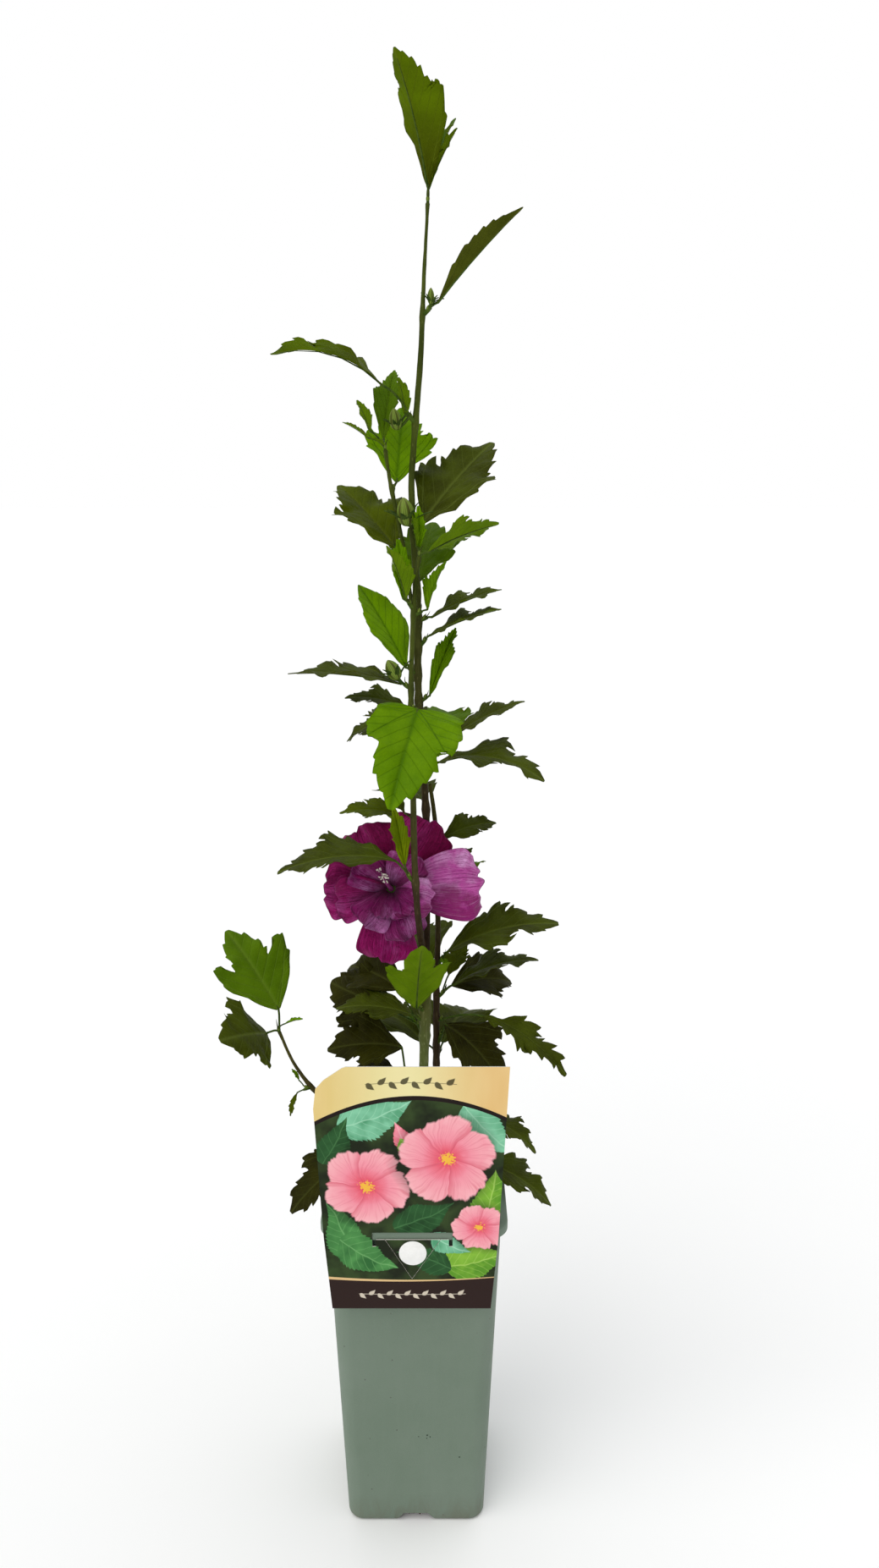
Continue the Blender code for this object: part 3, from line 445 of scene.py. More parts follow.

# Leaf tones as low, high and vein colours: upper faces, under faces, and which under face each tone has. The
# fresh, lime and bright tones are light young greens, partly painted light shining through the leaf, and
# their dark veins are painted backlight.
TONES = {
    "fresh": ((0.115, 0.245, 0.000), (0.165, 0.325, 0.001), (0.060, 0.150, 0.001)),
    "lime": ((0.120, 0.180, 0.001), (0.190, 0.250, 0.001), (0.080, 0.130, 0.001)),
    "bright": ((0.084, 0.185, 0.000), (0.130, 0.255, 0.001), (0.045, 0.115, 0.001)),
    "mid": ((0.058, 0.120, 0.001), (0.088, 0.170, 0.002), (0.105, 0.180, 0.012)),
    "olive": ((0.048, 0.066, 0.000), (0.086, 0.118, 0.001), (0.090, 0.115, 0.006)),
    "dark": ((0.032, 0.040, 0.001), (0.058, 0.078, 0.003), (0.100, 0.130, 0.018)),
    # Deep: near-black painted shade for leaves that lie in shade within the crown.
    "deep": ((0.014, 0.013, 0.001), (0.030, 0.030, 0.002), (0.060, 0.066, 0.012)),
}
UNDERS = {
    "under_fresh": ((0.085, 0.160, 0.002), (0.125, 0.215, 0.004), (0.130, 0.200, 0.012)),
    "under_green": ((0.042, 0.050, 0.003), (0.066, 0.080, 0.006), (0.105, 0.120, 0.020)),
    # Under face of the deep tone: near-black painted shade.
    "under_deep": ((0.016, 0.015, 0.002), (0.030, 0.030, 0.004), (0.050, 0.050, 0.012)),
    "under_olive": ((0.066, 0.104, 0.001), (0.100, 0.160, 0.001), (0.110, 0.150, 0.006)),
}
UNDER_OF = {
    "fresh": "under_fresh", "lime": "under_fresh", "bright": "under_fresh", "mid": "under_olive",
    "olive": "under_olive", "dark": "under_green", "deep": "under_deep",
}
LEAF_LOOKS = [*TONES, *UNDERS]
# Brown that the olive under face darkens to towards its foot.
LEAF_FOOT = (0.036, 0.034, 0.001)

# Bark colours as low, high and streak. A bark: its old and its young colours and the heights between them.
BARK_COLOURS = {
    "pale": ((0.095, 0.125, 0.030), (0.145, 0.180, 0.055), (0.260, 0.290, 0.130)),
    "green": ((0.036, 0.036, 0.004), (0.068, 0.062, 0.010), (0.120, 0.115, 0.036)),
    "brown": ((0.024, 0.013, 0.005), (0.050, 0.032, 0.013), (0.095, 0.070, 0.034)),
    "fresh": ((0.034, 0.048, 0.004), (0.062, 0.082, 0.008), (0.100, 0.115, 0.024)),
}
BARKS = {
    "bark_trunk": ("pale", "green", 0.30, 0.36), "bark_green": ("brown", "fresh", 0.40, 0.54),
    "bark_leader": ("brown", "fresh", 0.44, 0.62), "bark_brown": ("brown", "green", 0.34, 0.46),
    "bark_shoot": ("brown", "green", 0.26, 0.33),
}

# Petals: throat, body, pale wash that is partly painted sheen, streak, and painted shade for the side that
# folds away.
PETAL_LOOKS = {
    "petal_wine": (
        (0.060, 0.000, 0.014), (0.250, 0.001, 0.080), (0.390, 0.030, 0.200), (0.085, 0.000, 0.026),
        (0.180, 0.000, 0.048)),
    "petal_magenta": (
        (0.100, 0.000, 0.028), (0.360, 0.006, 0.145), (0.520, 0.075, 0.330), (0.115, 0.001, 0.042),
        (0.290, 0.003, 0.105)),
    "petal_lilac": (
        (0.160, 0.002, 0.065), (0.660, 0.125, 0.480), (0.820, 0.400, 0.760), (0.290, 0.018, 0.180),
        (0.215, 0.005, 0.088)),
    "petal_heart": (
        (0.055, 0.000, 0.020), (0.290, 0.017, 0.165), (0.580, 0.200, 0.500), (0.095, 0.001, 0.046),
        (0.240, 0.008, 0.115)),
}

# Plain finishes: low and high colours, how fine their patches are, and roughness.
PLAIN_LOOKS = {
    "leaf_stalk": ((0.030, 0.060, 0.006), (0.070, 0.110, 0.014), 300, 0.5),
    "stipule": ((0.030, 0.040, 0.008), (0.070, 0.090, 0.018), 400, 0.6),
    "bud_bract": ((0.024, 0.048, 0.006), (0.055, 0.090, 0.014), 300, 0.55),
    "filament": ((0.60, 0.42, 0.50), (0.75, 0.60, 0.62), 500, 0.5),
    "stamen_column": ((0.120, 0.006, 0.070), (0.260, 0.050, 0.180), 400, 0.6),
    "anther": ((0.80, 0.74, 0.62), (0.92, 0.88, 0.80), 900, 0.8),
    "moulding_pip": ((0.035, 0.050, 0.036), (0.060, 0.085, 0.062), 900, 0.6),
    "bark_chip": ((0.10, 0.055, 0.028), (0.20, 0.120, 0.065), 700, 0.9),
    "grit": ((0.55, 0.52, 0.46), (0.78, 0.75, 0.70), 900, 0.9),
    "card_back": ((0.66, 0.64, 0.58), (0.74, 0.72, 0.67), 120, 0.5),
    "card_disc": ((0.86, 0.86, 0.84), (0.92, 0.92, 0.90), 300, 0.4),
}

# Printed side of the card, in millimetres across and up it. A blossom: centre, radius and turn. A leaf:
# centre, length, half width, turn and tint.
PRINT_BLOSSOMS = [((38, 224), 17, 0.9), ((-27, 251), 27, 0.55), ((19, 268), 30, 0.1)]
PRINT_LEAVES = [
    ((-22, 297), 46, 13, 0.35, "mint"), ((44, 287), 44, 13, -0.75, "mint"),
    ((-45, 280), 34, 10, 1.15, "deep"), ((-44, 222), 40, 11, 1.9, "mid"), ((6, 232), 40, 11, 0.5, "deep"),
    ((43, 244), 38, 11, 1.35, "lime"), ((-26, 206), 40, 12, -0.5, "mid"), ((36, 203), 42, 12, 0.3, "lime"),
    ((6, 201), 34, 9, 2.8, "deep"), ((22, 213), 26, 7, -0.5, "mint"), ((-8, 284), 19, 5.5, 1.95, "bud"),
    ((-5.6, 277.5), 11, 4.6, 1.95, "lime"),
]
CORAL, PINK, PALE_PINK, FOLD_RED = (
    (0.780, 0.060, 0.110), (0.900, 0.290, 0.370), (0.960, 0.520, 0.550), (0.660, 0.085, 0.140))
PRINT_TINTS = {
    "mint": ((0.085, 0.330, 0.170), (0.240, 0.600, 0.380), (0.420, 0.760, 0.540)),
    "mid": ((0.030, 0.140, 0.035), (0.080, 0.280, 0.075), (0.190, 0.460, 0.160)),
    "lime": ((0.100, 0.290, 0.022), (0.260, 0.520, 0.050), (0.460, 0.700, 0.150)),
    "deep": ((0.012, 0.050, 0.014), (0.030, 0.115, 0.034), (0.075, 0.220, 0.075)),
    "bud": (CORAL, PINK, PALE_PINK),
}
PRINT_DARKS = ((0.012, 0.017, 0.007), (0.035, 0.062, 0.018))
# Gold of the head band at its left, middle and right; the lighter middle is a painted sheen.
HEAD_GOLDS_AND_SHEEN = ((0.750, 0.560, 0.200), (0.840, 0.780, 0.400), (0.770, 0.500, 0.195))
# A row of small leaves: its middle, level and half run, the step between leaves, their length, half width
# and turn, then how fast the row bows and its colour. A line across the card: middle, level and bow.
HEAD_ROW = (-1, 316.3, 25.6, 6.4, 6.8, 1.9, 0.75, 0.0016, (0.035, 0.030, 0.012))
FOOT_ROW = (-1, 178.6, 31.2, 5.2, 5.4, 1.45, 0.75, -0.0004, (0.70, 0.62, 0.50))
ARC = (1, 308.2, 0.00506)
ARC_LINE = 2.6
GOLD_LINE = (-1, 188.6, -0.0009)


def mm(*values):
    return [value * MM for value in values]


def direction(turn, rise):
    turn, rise = math.radians(turn), math.radians(rise)
    return Vector((math.cos(turn) * math.cos(rise), math.sin(turn) * math.cos(rise), math.sin(rise)))


FACING = direction(*BLOOM_FACING)
RIGHT = UP.cross(FACING).normalized()
TOP = FACING.cross(RIGHT)


def blend_stations(stations, place):
    """A row of values on the smooth curve through the stations, at a place counted in stations."""
    last = len(stations) - 1
    index = min(int(place), last - 1)
    t = place - index
    a, b, c, d = (stations[min(max(index + k, 0), last)] for k in (-1, 0, 1, 2))
    values = []
    for p, q, r, s in zip(a, b, c, d):
        bend = (2 * p - 5 * q + 4 * r - s) * t * t + (3 * q - p - 3 * r + s) * t ** 3
        values.append(q + 0.5 * ((r - p) * t + bend))
    return values


def either_side(stations, place):
    """The rows a little ahead of a place and a little behind it, which give the slope there."""
    last = len(stations) - 1
    return blend_stations(stations, min(place + 0.05, last)), blend_stations(stations, max(place - 0.05, 0))


def limb_at(name, height):
    """Where a limb passes a height in millimetres: its axis point, its direction and its radius."""
    stations = LIMBS[name]
    low, high = 0.0, float(len(stations) - 1)
    for _ in range(30):
        middle = (low + high) / 2
        if blend_stations(stations, middle)[2] < height:
            low = middle
        else:
            high = middle
    here = blend_stations(stations, low)
    ahead, behind = (Vector(row[:3]) for row in either_side(stations, low))
    return Vector(here[:3]) * MM, (ahead - behind).normalized(), here[3] * MM


# Small shared tools for modelling.

def linked(name, data):
    obj = bpy.data.objects.new(name, data)
    bpy.context.scene.collection.objects.link(obj)
    return obj


def activate(obj=None):
    """Leaves only this object selected, or none."""
    if bpy.context.object and bpy.context.object.mode != "OBJECT":
        bpy.ops.object.mode_set(mode="OBJECT")
    bpy.ops.object.select_all(action="DESELECT")
    if obj:
        obj.select_set(True)
        bpy.context.view_layer.objects.active = obj


@contextmanager
def editing(obj):
    """Edit mode, with all of the mesh selected."""
    activate(obj)
    bpy.ops.object.mode_set(mode="EDIT")
    bpy.ops.mesh.select_mode(type="FACE")
    bpy.ops.mesh.select_all(action="SELECT")
    yield
    bpy.ops.object.mode_set(mode="OBJECT")


def added(operator, name, **settings):
    """Adds a primitive and hands it back named, with its place in its mesh."""
    activate()
    operator(**settings)
    obj = bpy.context.object
    obj.name = obj.data.name = name
    bpy.ops.object.transform_apply(location=True, rotation=True, scale=True)
    return obj


def select_in(obj, mode, test):
    """In edit mode, selects only the faces or edges that pass the test."""
    bpy.ops.mesh.select_mode(type=mode)
    bpy.ops.mesh.select_all(action="DESELECT")
    bm = bmesh.from_edit_mesh(obj.data)
    for element in {"FACE": bm.faces, "EDGE": bm.edges}[mode]:
        element.select_set(test(element))
    bm.select_flush_mode()
    bmesh.update_edit_mesh(obj.data)


def apply_modifier(obj, kind, **settings):
    activate(obj)
    modifier = obj.modifiers.new(kind.lower(), kind)
    for key, value in settings.items():
        setattr(modifier, key, value)
    bpy.ops.object.modifier_apply(modifier=modifier.name)


def cut_by(obj, cutter):
    apply_modifier(obj, "BOOLEAN", operation="DIFFERENCE", object=cutter, solver="EXACT")
    bpy.data.objects.remove(cutter, do_unlink=True)


def smooth(obj, degrees):
    activate(obj)
    bpy.ops.object.shade_smooth_by_angle(angle=math.radians(degrees))


def finish_piece(obj, materials, slot, *nodes):
    """Gives a piece its materials and its body, and hides the solids that it stands for. The slot is not
    used.
    """
    for material in materials:
        obj.data.materials.append(material)
    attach(obj, BODY)
    if nodes:
        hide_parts(*nodes)


class Gathered:
    """One mesh gathered from many small sheets and tubes, with a place in the sheet for each corner."""

    def __init__(self):
        self.points, self.faces, self.places, self.slots = [], [], [], []
        self.count = 0

    def add(self, points, faces, places, slot):
        """Adds one shell. The slot is one number for all its faces, or a list with one for each."""
        self.points.append(np.asarray(points, float))
        self.places.append(np.asarray(places, float))
        self.faces.extend([tuple(int(k) + self.count for k in face) for face in faces])
        self.slots.extend(slot if isinstance(slot, list) else [slot] * len(faces))
        self.count += len(points)

    def tube(self, points, radii, sides, slot):
        self.add(*tube_parts(points, radii, sides), slot)

    def build(self, name):
        mesh = bpy.data.meshes.new(name)
        mesh.from_pydata(np.concatenate(self.points).tolist(), [], self.faces)
        mesh.polygons.foreach_set("material_index", self.slots)
        mesh.polygons.foreach_set("use_smooth", [True] * len(self.faces))
        loops = np.empty(len(mesh.loops), np.int32)
        mesh.loops.foreach_get("vertex_index", loops)
        layer = mesh.uv_layers.new(name="place")
        layer.data.foreach_set("uv", np.concatenate(self.places)[loops].ravel())
        mesh.update()
        return linked(name, mesh)


def tube_parts(points, radii, sides):
    """Points, faces and places of a closed tapering tube along a line of points."""
    last = len(points) - 1
    tangents = [(points[min(k + 1, last)] - points[max(k - 1, 0)]).normalized() for k in range(last + 1)]
    side = tangents[0].orthogonal().normalized()
    rows, faces, places = [], [], []
    for k in range(last + 1):
        if k:
            side = tangents[k - 1].rotation_difference(tangents[k]) @ side
        other = tangents[k].cross(side)
        for step in range(sides):
            angle = 2 * math.pi * step / sides
            rows.append(points[k] + (side * math.cos(angle) + other * math.sin(angle)) * radii[k])
            places.append((step / sides, k / last))
            if k < last:
                here, beside = k * sides + step, k * sides + (step + 1) % sides
                faces.append((here, beside, beside + sides, here + sides))
    faces.append(tuple(range(sides))[::-1])
    faces.append(tuple(range(last * sides, last * sides + sides)))
    return rows, faces, places


class Blade:
    """The curved sheet of a leaf or petal: a midrib that arches, two halves folded up along it."""

    def __init__(self, form, base, along, length, roll=0, face=UP):
        self.outline = form.outline
        self.bite = form.bite
        self.base = np.array(base)
        self.length = length
        self.width = form.width * length
        self.bend = math.radians(form.arch)
        self.fold = math.radians(form.fold)
        upward = Quaternion(along, math.radians(roll)) @ (face - along * face.dot(along)).normalized()
        self.along = np.array(along)
        self.upward = np.array(upward)
        self.side = np.array(along.cross(upward))

    def points(self, s, across, height):
        """Points of the sheet: s along it, across in half widths, height off the sheet."""
        s, across, height = (np.asarray(values, float) for values in (s, across, height))
        radius = self.length / self.bend
        start, here = self.bend / 2, self.bend / 2 - self.bend * s
        forward = radius * (np.sin(start) - np.sin(here))
        lift = radius * (np.cos(here) - np.cos(start))
        centre = self.base + np.outer(forward, self.along) + np.outer(lift, self.upward)
        normal = np.outer(np.cos(here), self.upward) - np.outer(np.sin(here), self.along)
        fold = self.fold * np.clip(FOLD_AT_ENDS + FOLD_RATE * np.minimum(s, 1 - s), 0, 1)
        sign = np.sign(across)
        spread = np.outer(np.cos(fold) * sign, self.side) + normal * np.sin(fold)[:, None]
        face = normal * np.cos(fold)[:, None] - np.outer(np.sin(fold) * sign, self.side)
        return centre + spread * (np.abs(across) * self.width)[:, None] + face * height[:, None]

    def sheet(self, gathered, wide, s, across, height, thickness, places, slots):
        """Closes rows of places into a thin skin: its upper face, its under face and the edge between."""
        upper = self.points(s, across, height + thickness / 2)
        under = self.points(s, across, height - thickness / 2)
        total = len(s)
        grid = np.arange(total).reshape(-1, wide)
        faces = []
        for a in grid[:-1, :-1].ravel():
            faces.append((a, a + 1, a + wide + 1, a + wide))
            faces.append((total + a, total + a + wide, total + a + wide + 1, total + a + 1))
        kinds = list(slots) * (len(faces) // 2)
        border = [*grid[0], *grid[1:, -1], *grid[-1, -2::-1], *grid[-2:0:-1, 0]]
        faces += [(b, a, total + a, total + b) for a, b in zip(border, border[1:] + border[:1])]
        kinds += [slots[1]] * len(border)
        gathered.add(np.concatenate([upper, under]), faces, np.concatenate([places, places]), kinds)


def near_line(distance, width):
    return np.exp(-(distance / width) ** 2)


def vein_rise(s, across):
    """How close a place on a leaf is to its main and side veins, from 0 to 1."""
    u = np.abs(across)
    lobe = s - LOBE_SLOPE * u
    main = near_line(u, 0.07) + near_line(lobe, 0.025) + near_line(s - LOWER_SLOPE * u, 0.02)
    inner = (s - SIDE_SLOPE * u) * SIDE_RATE
    outer = (s - OUTER_SLOPE * u) * OUTER_RATE
    inner = np.abs(inner - np.floor(inner) - 0.5) / SIDE_RATE
    outer = np.abs(outer - np.floor(outer) - 0.5) / OUTER_RATE
    side = np.where(lobe > 0, near_line(inner, 0.02), near_line(outer, 0.016))
    return np.minimum(main + 0.7 * side, 1)


def outline_steps(outline):
    """Steps along an outline: the place counted in stations, how far out the tooth is, and its number."""
    steps = []
    number = 0
    for stretch, teeth in enumerate(outline.teeth):
        if not teeth:
            steps += [(stretch + part, 0.0, number) for part in (0, 0.33, 0.67)]
        for tooth in range(teeth):
            steps += [(stretch + (tooth + phase) / teeth, out, number) for phase, out in TOOTH_PHASES]
            number += 1
    steps.append((len(outline.rows) - 1.0, 0.0, number))
    return steps


def leaf_half(blade, rng, fullness):
    """One half of a leaf: its places at midrib and edge, its half width and its teeth's reach both ways."""
    depth = [TOOTH_DEPTH * blade.bite * fullness ** 2 * rng.uniform(*TOOTH_SPREAD) for _ in range(MOST_TEETH)]
    fuller = fullness * rng.uniform(*FULLNESS_SPREAD)
    rows = blade.outline.rows
    half = []
    for place, out, number in outline_steps(blade.outline):
        middle, edge, width = blend_stations(rows, place)
        ahead, behind = either_side(rows, place)
        along = (ahead[1] - behind[1]) * blade.length
        outward = (ahead[2] - behind[2]) * blade.width
        span = math.hypot(along, outward) or 1
        ease = min(1, 0.4 + 1.5 * edge) * min(1, 0.25 + 4 * (1 - edge))
        tooth = depth[number] * out * ease
        half.append((
            middle, edge, fuller * width, tooth * (0.5 * along - outward) / span,
            tooth * (along + 0.4 * outward) / span * blade.length / blade.width,
        ))
    return np.array(half)


def leaf_sheet(blade, rng, gathered, slots, wave=WAVE, sheet=SHEET, fullness=(1, 1)):
    """One leaf as a closed thin skin with a toothed, waving edge, quilted between its veins."""
    halves = [leaf_half(blade, rng, full) for full in fullness]
    rows = len(halves[0])
    columns = [-a for a in reversed(ACROSS[1:])] + list(ACROSS)
    phase = [rng.uniform(0, 6.28) for _ in range(4)]
    s, across = [], []
    for row in range(rows):
        for a in columns:
            middle, edge, width, ahead, tooth = halves[a > 0][row]
            reach = abs(a)
            s.append(middle + (edge - middle) * reach ** 1.15 + ahead * reach ** 6)
            across.append(math.copysign(width * reach + tooth * reach ** 6, a) if a else 0.0)
    s, across = np.array(s), np.array(across)
    reach = np.abs(np.tile(columns, rows))
    left = np.tile(np.array(columns) < 0, rows)
    broad, fine = RIPPLE_RATES
    ripple = np.sin(2 * math.pi * broad * s + np.where(left, phase[0], phase[1]))
    ripple += 0.5 * np.sin(2 * math.pi * fine * s + np.where(left, phase[2], phase[3]))
    ends = np.clip(5 * np.minimum(s, 1 - s), 0, 1)
    height = blade.length * wave * blade.bite * ripple * reach ** 2 * ends
    height += blade.length * QUILT * (1 - vein_rise(s, across)) * ends * (1 - 0.6 * reach ** 4)
    blade.sheet(gathered, len(columns), s, across, height, sheet * (1 - 0.6 * reach ** 3),
                np.stack([0.5 + 0.5 * across, s], 1), slots)


def spur_heading(limb, height, heading):
    """Where a spur leaves its limb: the axis point there, the heading and how far out its foot is."""
    axis, tangent, radius = limb_at(limb, height)
    if height >= LIMBS[limb][-1][2]:
        return axis, tangent, 0.0
    outward = (heading - tangent * heading.dot(tangent)).normalized()
    slope = max(outward.dot(heading), SPUR_LEAST_SLOPE)
    lean = math.sqrt(max(1 - slope * slope, 0))
    return axis, heading, (radius + SPUR_RADIUS * MM * lean) / slope


def clear_of_limbs(points):
    for stations in LIMBS.values():
        for k in range(2 * len(stations) - 1):
            x, y, z, radius = blend_stations(stations, k / 2)
            axis = Vector((x, y, z)) * MM
            if min((point - axis).length for point in points) < (radius + YOUNG_CLEARANCE) * MM:
                return False
    return True


def young_leaves(name, start, heading, count):
    """Small unfolding leaves round a spur, by the solids' seeded rule."""
    rng = random.Random(name)
    flat = math.degrees(math.atan2(heading.y, heading.x))
    grown = []
    for _ in range(YOUNG_TRIES):
        along = direction(flat + rng.uniform(-60, 60), rng.uniform(-10, 60))
        length = rng.uniform(*YOUNG_LENGTH) * MM
        if clear_of_limbs([start + along * length * part for part in (0.7, 1.2)]):
            grown.append((along, length))
    return grown[:count]


def curve_points(stations, steps):
    """Points on the smooth curve through a few vectors."""
    rows = [tuple(point) for point in stations]
    count = (len(rows) - 1) * steps
    return [Vector(blend_stations(rows, k / steps)) for k in range(count + 1)]


# Foliage: what grows at each mass's spur.

def bud_parts(centre, axis, width, length):
    """A closed bud: a pointed egg with a groove at each seam between its sepals."""
    points = [centre + axis * along * length for along, _ in BUD_PROFILE]
    rows, faces, places = tube_parts(points, [half * width / 2 for _, half in BUD_PROFILE], BUD_SIDES)
    for k, point in enumerate(rows):
        ring, step = divmod(k, BUD_SIDES)
        seam = abs(math.cos(math.pi * BUD_SEAMS * step / BUD_SIDES))
        rows[k] = points[ring] + (point - points[ring]) * (0.90 + 0.13 * seam ** 0.6)
    return rows, faces, places


def add_bud(buds, bracts, centre, axis, width, length, rng):
    buds.add(*bud_parts(centre, axis, width, length), 0)
    foot = centre - axis * length * 0.48
    side = axis.orthogonal().normalized()
    for k in range(BUD_BRACTS):
        turn = Quaternion(axis, 2 * math.pi * (k + rng.uniform(-0.2, 0.2)) / BUD_BRACTS)
        outward = turn @ side
        lean = rng.uniform(0.55, 0.95)
        along = (outward * lean + axis * (1.3 - lean)).normalized()
        root = foot + outward * width * 0.12
        blade = Blade(BUD_BRACT, root, along, length * rng.uniform(0.75, 1.05), 0, axis)
        leaf_sheet(blade, rng, bracts, (0, 0), wave=0, sheet=0.5 * MM)


def add_stalk(stalks, line, blade):
    """A leaf stalk: swollen at both ends, grooved into the blade and running on as its midrib."""
    points = curve_points(line, 4)
    scale = min(1, blade.length / (45 * MM))
    radii = []
    for t in np.linspace(0, 1, len(points)):
        swell = 0.55 * math.exp(-(t / 0.10) ** 2) + 0.2 * math.exp(-((1 - t) / 0.08) ** 2)
        radii.append(STALK_RADIUS * MM * (1 + swell) * (0.55 + 0.45 * scale))
    ribs = blade.points(RIB_REACH, np.zeros(len(RIB_REACH)), np.full(len(RIB_REACH), -0.35 * MM))
    for reach, rib in zip(RIB_REACH, ribs):
        points.append(Vector(rib))
        radii.append(STALK_RADIUS * MM * scale * (0.85 - 0.75 * reach))
    stalks.tube(points, radii, 8, 0)


def add_stipules(stalks, root, heading, rng):
    """A pair of small awl-shaped stipules at the foot of a leaf stalk."""
    side = heading.cross(UP).normalized()
    for sign in (-1, 1):
        along = heading * 0.5 + UP * rng.uniform(0.5, 0.9) + side * sign * rng.uniform(0.3, 0.6)
        reach = along.normalized() * rng.uniform(4, 7) * MM
        line = [root, root + reach * 0.5 + heading * reach.length * 0.12, root + reach]
        stalks.tube(curve_points(line, 3), mm(*STIPULE_RADII), 5, 1)


def stalk_end(axis, stalk):
    turn, rise, length = stalk
    return axis + direction(turn, rise) * length * MM


def leaf_slots(tone):
    return LEAF_LOOKS.index(tone), LEAF_LOOKS.index(UNDER_OF[tone])


def grow_mass(name, mass, leaves, stalks, buds, bracts):
    axis, heading, reach = spur_heading(mass.limb, mass.height, direction(*mass.leaves[0].stalk[:2]))
    start = axis + heading * reach
    tip = start + heading * SPUR_REACH * MM
    rng = random.Random(name + " fine")
    spur = [axis + heading * reach * 0.3, start, start.lerp(tip, 0.5), tip]
    stalks.tube(spur, mm(*SPUR_RADII), 9, 0)
    count = len(mass.leaves) + len(mass.buds) + mass.young
    first, last = SPUR_ROOTS
    roots = [start.lerp(tip, first + (last - first) * k / count) for k in range(count)]
    for leaf in mass.leaves:
        base = stalk_end(axis, leaf.stalk)
        turn, rise, length = leaf.blade
        blade = Blade(FORMS[leaf.form], base, direction(turn, rise), length * MM, leaf.roll)
        leaf_sheet(blade, rng, leaves, leaf_slots(leaf.tone), fullness=leaf.halves)
        root = roots.pop(0)
        span = base - root
        sag = Vector(blade.upward) * span.length * STALK_SAG
        line = [root - heading * 0.8 * MM, root + span * 0.35 + sag, root + span * 0.7 + sag, base]
        add_stalk(stalks, line, blade)
        if length > STIPULE_LEAST_LEAF:
            add_stipules(stalks, root, heading, rng)
    for bud in mass.buds:
        centre = stalk_end(axis, bud.stalk)
        width, length = mm(*bud.size)
        along = direction(*bud.axis)
        root = roots.pop(0)
        foot = centre - along * length * 0.45
        line = [root, root.lerp(foot, 0.5) - along * 0.6 * MM, foot]
        stalks.tube(curve_points(line, 3), mm(*BUD_STALK_RADII), 8, 0)
        add_bud(buds, bracts, centre, along, width, length, rng)
    for along, length in young_leaves(name, tip, heading, mass.young):
        leaf_sheet(Blade(FORMS["young"], roots.pop(0), along, length), rng, leaves, leaf_slots("fresh"))
    eye = start.lerp(tip, 0.4) + UP * 1.1 * MM
    buds.add(*bud_parts(eye, (heading + UP * 1.5).normalized(), *mm(*EYE_BUD)), 0)


def build_foliage(looks):
    """Leaves in one piece for each limb, and all stalks, buds and bracts in a piece of their own."""
    stalks, buds, bracts = Gathered(), Gathered(), Gathered()
    for limb in LIMBS:
        masses = {name: mass for name, mass in MASSES.items() if mass.limb == limb}
        if not masses:
            continue
        leaves = Gathered()
        for name, mass in masses.items():
            grow_mass(name, mass, leaves, stalks, buds, bracts)
        finish_piece(leaves.build("leaves_" + limb), [looks[name] for name in LEAF_LOOKS], "leaf", *masses)
    finish_piece(stalks.build("leaf_stalks"), [looks["leaf_stalk"], looks["stipule"]], "leaf")
    finish_piece(buds.build("flower_buds"), [looks["bud"]], "leaf")
    finish_piece(bracts.build("bud_bracts"), [looks["bud_bract"]], "leaf")


# Limbs: a bevelled curve made a mesh, swollen at each node, then given the bark's relief.

def limb_line(name):
    """Points and radii along a limb, its foot carried into what it grows from."""
    stations = LIMBS[name]
    rows = [blend_stations(stations, k / 12) for k in range(12 * (len(stations) - 1) + 1)]
    kept = [[value + sink for value, sink in zip(rows[0], (*LIMB_SINK[name], 0))]]
    for row in rows:
        if math.dist(row[:3], kept[-1][:3]) >= LIMB_STEP or row is rows[-1]:
            kept.append(row)
    heights = [mass.height for mass in MASSES.values() if mass.limb == name]
    line = []
    for x, y, z, radius in kept:
        swell = sum(math.exp(-((z - height) / NODE_REACH) ** 2) for height in heights)
        line.append((x, y, z, radius * (1 + NODE_SWELL * min(swell, 1.2))))
    x, y, z, radius = line[-1]
    return line + [(x, y, z + 0.8, radius * 0.55)]


def limb_tube(name):
    line = limb_line(name)
    curve = bpy.data.curves.new(name + "_bark", "CURVE")
    curve.dimensions = "3D"
    curve.bevel_depth = 1
    curve.bevel_resolution = 5 if name == "trunk" else 3
    curve.use_fill_caps = True
    spline = curve.splines.new("POLY")
    spline.points.add(len(line) - 1)
    for point, (x, y, z, radius) in zip(spline.points, line):
        point.co = (*mm(x, y, z), 1)
        point.radius = radius * MM
    activate(linked(name + "_bark", curve))
    bpy.ops.object.convert(target="MESH")
    return bpy.context.object


def relief(obj, grain, strength, stretch):
    """Raises or lowers a skin by a soft noise drawn out upwards."""
    texture = bpy.data.textures.new("relief", "CLOUDS")
    texture.noise_scale = grain
    texture.noise_depth = 2
    drawn_out = linked("relief_frame", None)
    drawn_out.scale = (1, 1, stretch)
    bpy.context.view_layer.update()
    apply_modifier(obj, "DISPLACE", texture=texture, texture_coords="OBJECT",
                   texture_coords_object=drawn_out, strength=strength, mid_level=0.5)
    bpy.data.objects.remove(drawn_out)
    bpy.data.textures.remove(texture)


def build_limb(name, looks):
    obj = limb_tube(name)
    for grain, strength, stretch in BARK_RELIEF:
        relief(obj, grain * MM, strength * MM * (1.0 if name == "trunk" else STEM_RELIEF), stretch)
    smooth(obj, 60)
    finish_piece(obj, [looks["bark_" + LIMB_BARK[name]]], "trunk" if name == "trunk" else "stem", name)


# Bloom: thin ruffled petals round a column of stamens, on a green calyx.

def round_bloom(turn):
    """The direction across the bloom's face at an angle in radians."""
    return RIGHT * math.cos(turn) + TOP * math.sin(turn)


